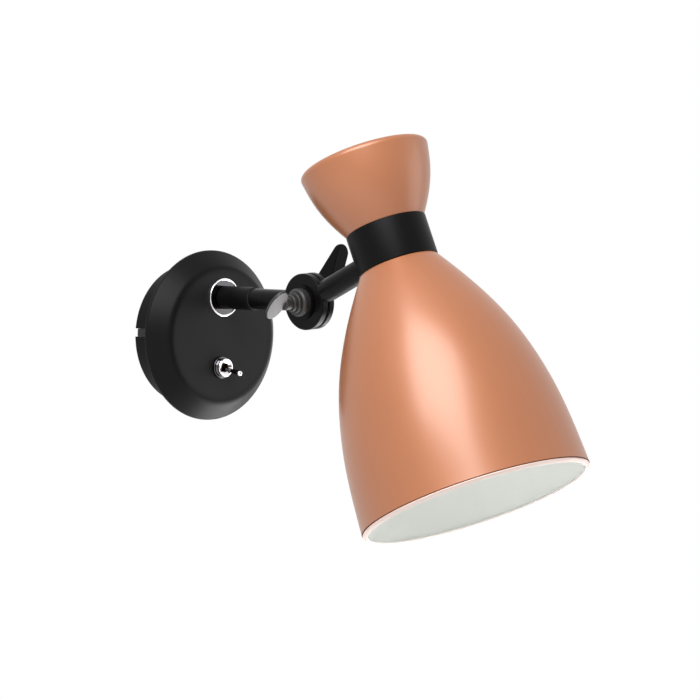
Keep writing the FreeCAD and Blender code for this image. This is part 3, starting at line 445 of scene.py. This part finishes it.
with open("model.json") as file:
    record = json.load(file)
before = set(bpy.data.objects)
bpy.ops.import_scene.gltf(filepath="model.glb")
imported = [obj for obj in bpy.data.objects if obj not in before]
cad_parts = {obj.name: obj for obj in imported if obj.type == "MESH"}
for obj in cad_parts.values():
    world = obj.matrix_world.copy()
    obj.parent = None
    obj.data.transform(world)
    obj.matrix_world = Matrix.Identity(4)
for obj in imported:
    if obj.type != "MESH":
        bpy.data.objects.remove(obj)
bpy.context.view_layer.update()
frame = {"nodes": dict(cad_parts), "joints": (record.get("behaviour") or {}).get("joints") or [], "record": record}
NODES = frame["nodes"]


def joint(name: str) -> dict:
    """Returns the joint of that name."""
    return next(j for j in frame["joints"] if j["name"] == name)


def mount(name: str) -> dict:
    """Returns the mount of that name."""
    return next(m for m in frame["record"]["mounts"] if m["name"] == name)


@dataclass(frozen=True)
class Layout:
    """The lamp's own axes, read from its joints and mounts."""

    out: Vector
    arm: Vector
    pivot: Vector
    pivot_axis: Vector
    head_up: Vector
    head_out: Vector
    head_base: Vector

    @classmethod
    def read(cls, reach: float) -> "Layout":
        """Reads the axes from the frame.

        Args:
            reach: Distance from the knuckle's pivot to the head's axis, in millimetres.

        Returns:
            The layout.
        """
        swivel, tilt = joint("arm_swivel"), joint("head_tilt")
        up = -Vector(mount("lamp_thread")["axis"]).normalized()
        pivot_axis = -Vector(tilt["axis"]).normalized()
        head_out = pivot_axis.cross(up).normalized()
        if head_out.y > 0:
            head_out = -head_out
        pivot = Vector(tilt["pos_m"])
        return cls(Vector((0.0, -1.0, 0.0)), Vector(swivel["pos_m"]), pivot, pivot_axis, up, head_out,
                   pivot + head_out * reach * MM)


@dataclass
class Rose:
    """The round rose on the wall: drum, bevelled cover, escutcheon and the fixed length of the arm."""

    layout: Layout
    drum_radius: float = 45.0
    drum_depth: float = 20.5
    cover_radius: float = 55.0
    cover_edge: float = 2.0
    face_radius: float = 44.0
    cover_rise: float = 11.0
    cover_wall: float = 2.0
    switch_drop: float = 20.5
    plate_radius: float = 12.5
    plate_bore: float = 6.25
    plate_thickness: float = 1.6
    socket_radius: float = 7.5

    def axis(self, out: float, rise: float = 0.0) -> Seat:
        """Returns a seat that faces out from the wall, some millimetres out and up from the rose's middle."""
        return Seat(Vector((0.0, -out * MM, rise * MM)), self.layout.out)

    @property
    def face_out(self) -> float:
        """Distance of the cover's flat face from the wall."""
        return self.drum_depth + self.cover_edge + self.cover_rise

    def build(self) -> None:
        """Makes the rose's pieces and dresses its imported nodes."""
        self.cover()
        self.plate()
        self.socket()
        dress("rose_drum", POWDER_BLACK)
        dress("wall_bracket", DARK_ZINC)
        for node in ("drum_screws", "cover_screws", "socket_nut"):
            dress(node, ZINC_PLATE)
        dress("terminal_block", WHITE_PLASTIC)
        for node in ("terminal_screws", "earth_screw"):
            dress(node, PLAIN_BRASS)

    def cover(self) -> None:
        """Turns the bevelled cover as a shell with a rounded edge and a soft shoulder."""
        front, back = self.cover_edge + self.cover_rise, 0.0
        shell = rounded([
            Corner(0.0, front), Corner(self.face_radius, front, 7.0), Corner(self.cover_radius, self.cover_edge, 1.6),
            Corner(self.cover_radius, back, 0.5), Corner(self.drum_radius - 1.8, back),
            Corner(self.face_radius - 2 * self.cover_wall, front - self.cover_wall),
            Corner(0.0, front - self.cover_wall)])
        piece = turned("rose_cover_shell", shell, self.axis(self.drum_depth))
        for rise in (self.layout.arm.z / MM, -self.switch_drop):
            bored(piece, self.axis(self.face_out, rise), self.plate_bore, 4 * self.cover_wall)
        # The face is painted lighter as a painted highlight and the bevel darker as painted shade.
        paint(piece, COVER_BLACK_LIT_FACE_SHADED_BEVEL)
        fit(piece, "rose", "black_paint", "rose_cover")

    def plate(self) -> None:
        """Turns the polished escutcheon with its raised rim; its face inside the rim is painted dark as a painted
        reflection of the black arm.
        """
        t = self.plate_thickness
        outline = rounded([
            Corner(self.plate_bore, t - 0.5), Corner(self.plate_radius - 1.5, t - 0.5, 0.3),
            Corner(self.plate_radius - 0.9, t, 0.3), Corner(self.plate_radius, t, 0.6), Corner(self.plate_radius, 0.0),
            Corner(self.plate_bore, 0.0)])
        piece = turned("escutcheon_plate", outline, self.axis(self.face_out, self.layout.arm.z / MM), closed=True)
        middle, rim = self.layout.arm.z, (self.plate_radius - 1.4) * MM
        # Inside the rim the chrome face is painted dark as a painted reflection of the black arm.
        paint(piece, CHROME_AND_PAINTED_HIGHLIGHT,
              (DARK_CHROME_AND_DARK_REFLECTION, lambda centre, normal: math.hypot(centre.x, centre.z - middle) < rim))
        fit(piece, "rose", "chrome", "escutcheon")

    def socket(self) -> None:
        """Turns the fixed length of the arm up to the swivel's seam."""
        start = self.face_out + self.plate_thickness
        end = -self.layout.arm.y / MM
        length = end - start
        outline = rounded([
            Corner(5.0, -9.0), Corner(6.0, -9.0), Corner(6.0, 0.0), Corner(self.socket_radius, 0.0, 0.3),
            Corner(self.socket_radius, length, 0.5), Corner(5.0, length)])
        piece = turned("arm_socket_tube", outline, self.axis(start, self.layout.arm.z / MM), closed=True)
        paint(piece, POWDER_BLACK)
        fit(piece, "rose", "black_paint", "arm_socket")


@dataclass
class Toggle:
    """The toggle switch: bushing, nuts and lever."""

    rose: Rose
    bushing_radius: float = 6.0
    bushing_proud: float = 5.6
    bushing_bore: float = 3.0
    bushing_back: float = -4.0
    # Length of the nose's painted highlight.
    painted_highlight_nose: float = 1.4
    thread_pitch: float = 0.75
    thread_depth: float = 0.35
    nut_radius: float = 7.1
    nut_thickness: float = 2.0
    lever_radius: float = 1.15
    tip_radius: float = 1.75
    lever_length: float = 18.8
    ball_radius: float = 2.7
    rest_angle: float = 9.5

    @property
    def seat(self) -> Seat:
        """Where the switch comes out of the cover's face."""
        return self.rose.axis(self.rose.face_out, -self.rose.switch_drop)

    def build(self) -> None:
        """Makes the switch's visible pieces."""
        self.bushing()
        self.nut()
        self.lever()
        dress("switch_body", BLACK_PLASTIC)

    def bushing(self) -> None:
        """Turns the bushing with its thread, a nose painted bright as a painted highlight, and brass seat."""
        nose = self.bushing_proud
        back = height = self.bushing_back
        thread = []
        while height < nose - 1.9:
            thread += [Corner(self.bushing_radius - self.thread_depth, height),
                       Corner(self.bushing_radius, height + self.thread_pitch / 2)]
            height += self.thread_pitch
        outline = rounded([Corner(self.bushing_bore, back)] + thread + [
            Corner(self.bushing_radius - 0.3, nose - 1.6), Corner(self.bushing_radius, nose - 1.3),
            Corner(self.bushing_radius, nose, 0.7), Corner(self.bushing_radius - 1.3, nose, 0.3),
            Corner(self.bushing_bore, nose - 1.2), Corner(self.bushing_bore, nose - 3.0)], steps=4)
        piece = turned("switch_bushing_turned", outline, self.seat, closed=True)
        inner = (self.bushing_bore + 0.1) * MM
        axis_z = -self.rose.switch_drop * MM
        side = -(self.rose.face_out + nose - self.painted_highlight_nose) * MM
        # The nose's outer end is painted bright chrome as a painted highlight over the bushing's dark chrome.
        paint(piece, CHROME_AND_PAINTED_HIGHLIGHT,
              (PLAIN_BRASS, lambda centre, normal: math.hypot(centre.x, centre.z - axis_z) < inner),
              (DARK_CHROME_AND_DARK_REFLECTION, lambda centre, normal: centre.y > side))
        fit(piece, "rose", "chrome", "switch_bushing")

    def nut(self) -> None:
        """Turns the round dress nut, which stands for the whole node: the lock nut behind the cover isn't made here."""
        t = self.nut_thickness
        outline = rounded([
            Corner(self.bushing_radius + 0.05, 0.0), Corner(self.nut_radius, 0.0), Corner(self.nut_radius, t, 0.5),
            Corner(self.bushing_radius + 0.05, t)])
        piece = turned("switch_dress_nut", outline, self.seat, closed=True)
        paint(piece, DARK_CHROME_AND_DARK_REFLECTION)
        fit(piece, "rose", "chrome", "switch_nuts")

    def lever(self) -> None:
        """Turns the lever: ball, waisted stem and rounded tip, leaning down as at rest; the tip is painted bright
        chrome as a painted highlight.
        """
        pivot = joint("toggle_flip")
        lean = math.radians(self.rest_angle)
        seat = Seat(Vector(pivot["pos_m"]), Vector((0.0, -math.cos(lean), -math.sin(lean))))
        ball, length, tip = self.ball_radius, self.lever_length, self.tip_radius
        outline: Outline = [(0.0, -ball)]
        outline += [(ball * math.sin(math.radians(a)), -ball * math.cos(math.radians(a))) for a in range(15, 151, 15)]
        outline += [(self.lever_radius, ball + 0.6), (self.lever_radius + 0.1, length * 0.5),
                    (tip * 0.86, length - tip * 0.9)]
        outline += [(tip * math.cos(math.radians(a)), length + tip * math.sin(math.radians(a)))
                    for a in range(-25, 90, 15)]
        outline.append((0.0, length + tip))
        piece = turned("toggle_lever_turned", outline, seat)
        highlight_start = self.lever_length - 1.6 * self.tip_radius
        # The lever's tip is painted bright chrome as a painted highlight on the dark chrome lever.
        paint(piece, DARK_CHROME_AND_DARK_REFLECTION,
              (CHROME_AND_PAINTED_HIGHLIGHT, lambda centre, normal: (centre - seat.origin).length > highlight_start * MM))
        fit(piece, "toggle", "chrome", "switch_lever")


@dataclass
class Knuckle:
    """The swivelling length of the arm with the friction knuckle, its thumb screw and its clamp lever."""

    layout: Layout
    disc_inner: float = 0.4
    disc_thickness: float = 5.4
    hub_rise: float = 1.3
    boss_radius: float = 9.0
    boss_rise: float = 5.4
    jam_radii: tuple[float, float] = (6.8, 5.3)
    jam_rises: tuple[float, float] = (2.2, 2.6)
    shank_radius: float = 4.0
    shank_rise: float = 5.6
    spade_half_length: float = 11.3
    spade_half_width: float = 6.9
    spade_thickness: float = 2.0
    spade_angle: float = 50.0
    spade_sunk: float = 1.4
    bolt_reach: float = 10.0
    bolt_radius: float = 2.5

    @property
    def hub_face(self) -> float:
        """Distance of the hub's face from the knuckle's middle."""
        return self.disc_inner + self.disc_thickness + self.hub_rise

    @property
    def boss_face(self) -> float:
        """Distance of the boss's face from the knuckle's middle."""
        return self.hub_face + self.boss_rise

    @property
    def jam_face(self) -> float:
        """Distance of the last ring's face from the knuckle's middle."""
        return self.boss_face + sum(self.jam_rises)

    def near(self, distance: float) -> Seat:
        """Returns a seat on the pivot's axis that faces the near side."""
        return Seat(self.layout.pivot, -self.layout.pivot_axis, self.layout.out).moved(distance)

    def build(self) -> None:
        """Makes and dresses the knuckle's pieces."""
        dress("lower_knuckle", SATIN_BLACK)
        dress("upper_knuckle", SATIN_BLACK)
        dress("swivel_ring", GLOSS_BLACK)
        dress("friction_washer", FIBRE)
        dress("clamp_lever", DEEP_BLACK)
        self.boss()
        self.rings()
        self.screw()

    def boss(self) -> None:
        """Turns the cup washer with its rounded edge and sunk face."""
        rise = self.boss_rise
        outline = rounded([
            Corner(self.bolt_radius, 0.0), Corner(self.boss_radius, 0.0), Corner(self.boss_radius, rise, 2.2),
            Corner(7.4, rise, 0.2), Corner(7.2, rise - 0.4, 0.2), Corner(self.bolt_radius, rise - 0.4)])
        piece = turned("pivot_boss_turned", outline, self.near(self.hub_face), closed=True)
        paint(piece, GLOSS_BLACK)
        fit(piece, "swivel_arm", "black_paint", "pivot_boss")

    def rings(self) -> None:
        """Turns the two stepped rings as one piece with a groove between them."""
        (r1, r2), (t1, t2) = self.jam_radii, self.jam_rises
        outline = rounded([
            Corner(self.bolt_radius, -0.3), Corner(r1 - 0.3, -0.3), Corner(r1, 0.2, 0.2), Corner(r1, t1, 0.7),
            Corner(r2 - 0.5, t1, 0.15), Corner(r2 - 0.5, t1 + 0.4, 0.15), Corner(r2, t1 + 0.4, 0.3),
            Corner(r2, t1 + t2, 0.8), Corner(self.bolt_radius, t1 + t2)])
        piece = turned("jam_rings_turned", outline, self.near(self.boss_face), closed=True)
        paint(piece, GLOSS_BLACK)
        fit(piece, "swivel_arm", "black_paint", "jam_nuts")

    def screw(self) -> None:
        """Makes the thumb screw: turned shank and a flat oval head shaped from a round plate."""
        rise = self.shank_rise
        outline = rounded([
            Corner(0.0, -self.jam_face - self.bolt_reach), Corner(self.bolt_radius, -self.jam_face - self.bolt_reach),
            Corner(self.bolt_radius, 0.0), Corner(self.shank_radius, 0.0), Corner(self.shank_radius, rise, 1.8),
            Corner(0.0, rise)])
        shank = turned("thumb_screw_turned", outline, self.near(self.jam_face))
        paint(shank, GLOSS_BLACK)
        lean = math.radians(self.spade_angle)
        upward = self.layout.pivot_axis.cross(self.layout.out)
        if upward.z < 0:
            upward = -upward
        reach = self.layout.out * math.cos(lean) + upward * math.sin(lean)
        centre = self.near(self.jam_face + rise + self.spade_half_width - self.spade_sunk).origin
        face_normal = self.layout.pivot_axis.cross(reach)
        head = self.spade(Seat(centre, face_normal, reach))
        for piece in (shank, head):
            fit(piece, "swivel_arm", "gloss_black", "thumb_screw")

    def spade(self, seat: Seat) -> bpy.types.Object:
        """Shapes the oval head: a flat disc scaled to an oval and rounded at its edge; its flat faces are painted light
        grey as a painted reflection on the glossy black head.

        Args:
            seat: Its middle, with the axis normal to its flat and the side along its length.

        Returns:
            The head.
        """
        deselect()
        bpy.ops.mesh.primitive_cylinder_add(vertices=96, radius=1.0, depth=self.spade_thickness)
        obj = bpy.context.object
        bpy.ops.object.mode_set(mode="EDIT")
        bpy.ops.mesh.select_all(action="SELECT")
        bpy.ops.transform.resize(value=(self.spade_half_length, self.spade_half_width, 1.0))
        bpy.ops.object.mode_set(mode="OBJECT")
        rounding = obj.modifiers.new("edge", "BEVEL")
        rounding.width, rounding.segments, rounding.limit_method = 0.6, 4, "ANGLE"
        bpy.ops.object.modifier_apply(modifier=rounding.name)
        settle(obj, "thumb_screw_head", seat)
        bpy.ops.object.shade_smooth_by_angle(angle=math.radians(35.0))
        # The flat faces are painted light grey as a painted reflection; the rounded edge stays gloss black.
        paint(obj, GLOSS_BLACK,
              (SPADE_PAINTED_REFLECTION, lambda centre, normal: abs(normal.dot(seat.along.normalized())) > 0.98))
        return obj


@dataclass
class Head:
    """The head: tube, collar, bell, cap and lampholder."""

    layout: Layout
    tube_radius: float = 7.4
    neck_end: float = 27.0
    reach: float = 87.0
    collar_radius: float = 26.0
    collar_wall: float = 2.2
    collar_top: float = 16.7
    collar_bottom: float = -10.1
    wall: float = 1.2
    seat_depth: float = 2.4
    bell_height: float = 159.3
    bell_stations: tuple = ((25.4, 0.0, 34.5), (53.6, 48.4, 24.5), (69.0, 99.2, 10.5), (74.5, 157.0, 3.0))
    lip_depth: float = 3.2
    crease: float = 0.7
    cap_stations: tuple = ((25.4, 0.0, 33.0), (37.4, 24.0, 18.5), (40.8, 38.0, 10.0))
    cap_height: float = 46.7
    cap_corner: float = 3.4
    nipple_radius: float = 5.05

    def axis(self, height: float) -> Seat:
        """Returns a seat on the head's axis, facing up, at a height above the arm's axis."""
        return Seat(self.layout.head_base, self.layout.head_up, self.layout.head_out).moved(height)

    @property
    def seat_radius(self) -> float:
        """Outer radius of what stands inside the collar."""
        return self.collar_radius - self.collar_wall - 0.05

    def build(self) -> None:
        """Makes and dresses the head's pieces."""
        self.tube()
        self.collar()
        self.bell()
        self.cap()
        for node in ("head_nut", "nipple", "nipple_nuts"):
            dress(node, ZINC_PLATE)
        for node in ("holder_cap", "holder_shell"):
            dress(node, BLACK_PLASTIC)
        dress("holder_core", CERAMIC)
        for node in ("thread_shell", "centre_contact"):
            dress(node, PLAIN_BRASS)

    def tube(self) -> None:
        """Turns the tube between knuckle and collar with its spigot and stud."""
        length = self.reach - self.collar_radius - self.neck_end + 1.2
        outline = rounded([
            Corner(3.2, -7.0), Corner(5.2, -7.0), Corner(5.2, 0.0), Corner(self.tube_radius, 0.0, 0.12),
            Corner(self.tube_radius, length), Corner(4.9, length), Corner(4.9, length + 5.0),
            Corner(3.2, length + 5.0)])
        seat = Seat(self.layout.pivot, self.layout.head_out, self.layout.pivot_axis).moved(self.neck_end)
        piece = turned("head_tube_turned", outline, seat, closed=True)
        paint(piece, POWDER_BLACK)
        fit(piece, "head", "black_paint", "head_tube")

    def collar(self) -> None:
        """Turns the collar with its broken edges and its web."""
        height = self.collar_top - self.collar_bottom
        bore = self.collar_radius - self.collar_wall
        outline = rounded([
            Corner(bore, 0.0), Corner(self.collar_radius, 0.0, 0.7), Corner(self.collar_radius, height, 0.7),
            Corner(bore, height), Corner(bore, height - 1.5), Corner(self.nipple_radius, height - 1.5),
            Corner(self.nipple_radius, height - 4.5), Corner(bore, height - 4.5)])
        piece = turned("collar_turned", outline, self.axis(self.collar_bottom), closed=True)
        paint(piece, POWDER_BLACK)
        fit(piece, "head", "black_paint", "collar")

    def bell(self) -> None:
        """Turns the bell: seat in the collar, flowing wall, rounded turn and the lip turned in at the mouth; the lip's
        band is painted pale pink as a painted reflection.
        """
        outer = flowing(self.bell_stations, -1.0, 0.0)
        inner = flowing(self.bell_stations, -1.0, self.wall)
        mouth = -self.bell_height
        rim_r, rim_h = outer[-1]
        lip_r = rim_r - self.lip_depth
        seat, seat_in = self.seat_radius, self.seat_radius - self.wall
        crease = self.crease
        lip = rounded([Corner(*outer[-2]), Corner(rim_r, rim_h + crease), Corner(rim_r - crease, rim_h + 0.3 * crease),
                       Corner(rim_r - 0.2 * crease, rim_h - 0.5 * crease, 0.3), Corner(lip_r, mouth, 0.5),
                       Corner(lip_r - 0.2, mouth + self.wall)], steps=5)[1:]
        neck = [(seat_in, 0.0), (seat_in, self.seat_depth - self.wall),
                (self.nipple_radius, self.seat_depth - self.wall),
                (self.nipple_radius, self.seat_depth), (seat, self.seat_depth), (seat, 0.0)]
        outline = outer[:-1] + lip + inner[::-1] + neck
        piece = turned("shade_bell_spun", outline, self.axis(self.collar_bottom), closed=True)
        # The thin band of the crease above the lip is painted dark brown as painted shade.
        edge = rim_h + crease
        # The lip's band is painted pale pink as a painted reflection on the copper.
        paint(piece, SATIN_COPPER,
              (WHITE_ENAMEL, self.inside(mouth + 0.8 * self.wall)),
              (LIP_PAINTED_REFLECTION, self.below(edge - 0.9 * crease)), (CREASE_PAINTED_SHADE, self.below(edge)))
        fit(piece, "head", "copper_paint", "shade_bell")

    def below(self, height: float) -> FaceTest:
        """Returns a test for the bell's faces below a height.

        Args:
            height: The height from the neck, in millimetres.

        Returns:
            The test of a face's centre and normal.
        """
        origin, up = self.axis(self.collar_bottom).origin, self.layout.head_up
        return lambda centre, normal: (centre - origin).dot(up) / MM < height

    def inside(self, lowest: float) -> FaceTest:
        """Returns a test for the bell's inner faces.

        Args:
            lowest: Height of the lip's inner edge, from the neck.

        Returns:
            The test of a face's centre and normal.
        """
        origin, up = self.axis(self.collar_bottom).origin, self.layout.head_up

        def test(centre: Vector, normal: Vector) -> bool:
            """True for a face that looks towards the bell's axis and lies above the lip."""
            spoke = centre - origin
            height = spoke.dot(up)
            radial = spoke - up * height
            towards = normal.dot(radial.normalized()) < 0.3
            return towards and lowest < height / MM < -0.5
        return test

    def cap(self) -> None:
        """Turns the closed upper cone with its rounded crown."""
        outer = flowing(self.cap_stations, 1.0, 0.0)
        rim_r, rim_h = outer[-1]
        inner = flowing(self.cap_stations, 1.0, self.wall)
        top = self.cap_height
        top_r = rim_r + (top - rim_h) * math.tan(math.radians(self.cap_stations[-1][2]))
        crown = rounded([Corner(*outer[-2]), Corner(top_r, top, self.cap_corner), Corner(0.0, top)], steps=12)[1:]
        under = rounded([Corner(*inner[-2]), Corner(top_r - self.wall, top - self.wall, self.cap_corner - self.wall),
                         Corner(0.0, top - self.wall)], steps=12)[1:]
        seat, seat_in = self.seat_radius, self.seat_radius - self.wall
        neck = [(seat_in, 0.0), (seat_in, -0.3), (self.nipple_radius, -0.3), (self.nipple_radius, -1.5), (seat, -1.5),
                (seat, 0.0)]
        outline = under[::-1] + inner[:-1][::-1] + neck + outer[:-1] + crown
        piece = turned("shade_cap_spun", outline, self.axis(self.collar_top))
        paint(piece, SATIN_COPPER)
        fit(piece, "head", "copper_paint", "shade_cap")


# ---------------------------------------------------------------- studio and camera

@dataclass(frozen=True)
class Softbox:
    """A square lamp that points at a spot."""

    name: str
    place: tuple[float, float, float]
    size: float
    power: float
    target: tuple[float, float, float] = (0.0, -0.15, 0.0)

    def build(self) -> None:
        """Adds the lamp."""
        deselect()
        bpy.ops.object.light_add(type="AREA", location=self.place)
        lamp = bpy.context.object
        lamp.name = self.name
        lamp.visible_camera = False
        lamp.data.shape = "SQUARE"
        lamp.data.size = self.size
        lamp.data.energy = self.power
        aim = Vector(self.target) - Vector(self.place)
        lamp.rotation_euler = aim.to_track_quat("-Z", "Y").to_euler()


@dataclass(frozen=True)
class Camera:
    """The camera: a long lens, looking at the lamp from its left front."""

    azimuth: float = 42.99
    elevation: float = 0.71
    roll: float = 2.26
    distance: float = 4.0
    shift_right: float = -0.10567
    shift_up: float = 0.01046
    focal: float = 316.1
    sensor: float = 36.0
    sight: float = 50.0

    def build(self) -> None:
        """Adds the camera and makes it the scene's."""
        az, el, roll = (math.radians(a) for a in (self.azimuth, self.elevation, self.roll))
        forward = Vector((math.sin(az) * math.cos(el), math.cos(az) * math.cos(el), -math.sin(el)))
        right = Vector((math.cos(az), -math.sin(az), 0.0))
        up = right.cross(forward)
        across = right * math.cos(roll) + up * math.sin(roll)
        above = up * math.cos(roll) - right * math.sin(roll)
        place = -(across * self.shift_right + above * self.shift_up + forward * self.distance)
        deselect()
        bpy.ops.object.camera_add()
        camera = bpy.context.object
        camera.name = "photo_camera"
        turn = Matrix((across, above, -forward)).transposed().to_4x4()
        camera.matrix_world = Matrix.Translation(place) @ turn
        camera.data.sensor_width = self.sensor
        camera.data.lens = self.focal
        camera.data.clip_end = self.sight
        bpy.context.scene.camera = camera


@dataclass(frozen=True)
class Studio:
    """A white room seen by the camera and by reflections, with a plain pale floor and soft lamps."""

    floor_drop: float = 0.42
    floor_size: float = 3.6
    ambient: float = 0.34
    glow: float = 0.42
    floor_grey: float = 0.70
    floor_roughness: float = 0.8
    lamps: tuple[Softbox, ...] = (
        Softbox("key_softbox", (-1.24, -0.80, 1.40), 1.6, 59.0),
        Softbox("right_softbox", (1.9, -1.5, 0.1), 1.5, 9.0),
        Softbox("low_softbox", (0.26, -0.14, -0.38), 0.42, 3.2),
    )

    def build(self) -> None:
        """Builds the room, the floor and the lamps."""
        self.sky()
        self.floor()
        for lamp in self.lamps:
            lamp.build()

    def sky(self) -> None:
        """Sets a world that is white to the camera and to reflections and a plain light grey as light."""
        world = bpy.data.worlds.new("studio")
        bpy.context.scene.world = world
        world.use_nodes = True
        ground = world.node_tree.nodes["Background"]
        ground.inputs["Color"].default_value = (1.0, 1.0, 1.0, 1.0)
        self.shown(world.node_tree, self.ambient, 1.0, ground.inputs["Strength"])

    @staticmethod
    def shown(tree: bpy.types.NodeTree, hidden: float, seen: float, target: bpy.types.NodeSocket) -> None:
        """Sets a strength by whether the ray comes from the camera, a reflection or a transmission.

        Args:
            tree: The node tree.
            hidden: The strength for all other rays.
            seen: The strength for those rays.
            target: The socket that takes the strength.
        """
        path = tree.nodes.new("ShaderNodeLightPath")
        level = tree.nodes.new("ShaderNodeMapRange")
        level.inputs["To Min"].default_value = hidden
        level.inputs["To Max"].default_value = seen
        kept = path.outputs["Is Camera Ray"]
        for ray in ("Is Glossy Ray", "Is Transmission Ray"):
            either = tree.nodes.new("ShaderNodeMath")
            either.operation = "MAXIMUM"
            tree.links.new(kept, either.inputs[0])
            tree.links.new(path.outputs[ray], either.inputs[1])
            kept = either.outputs["Value"]
        tree.links.new(kept, level.inputs["Value"])
        tree.links.new(level.outputs["Result"], target)

    def floor(self) -> None:
        """Adds the pale floor well under the lamp."""
        deselect()
        bpy.ops.mesh.primitive_plane_add(size=self.floor_size, location=(0.0, 0.0, -self.floor_drop))
        floor = bpy.context.object
        floor.name = "floor"
        made = bpy.data.materials.new("pale_floor")
        made.use_nodes = True
        shader = made.node_tree.nodes["Principled BSDF"]
        shader.inputs["Base Color"].default_value = (*(self.floor_grey,) * 3, 1.0)
        shader.inputs["Roughness"].default_value = self.floor_roughness
        shader.inputs["Emission Color"].default_value = (1.0, 1.0, 1.0, 1.0)
        self.shown(made.node_tree, 0.0, self.glow, shader.inputs["Emission Strength"])
        floor.data.materials.append(made)


def main() -> None:
    """Builds the lamp's looks piece by piece, then the studio and the camera."""
    bpy.context.scene.view_settings.view_transform = "Standard"
    logging.basicConfig(level=logging.INFO, format="%(name)s: %(message)s")
    layout = Layout.read(Head.reach)
    rose = Rose(layout)
    for part in (rose, Toggle(rose), Knuckle(layout), Head(layout), Studio(), Camera()):
        log.info("building %s", type(part).__name__)
        part.build()
    deselect()


if __name__ == "__main__":
    main()
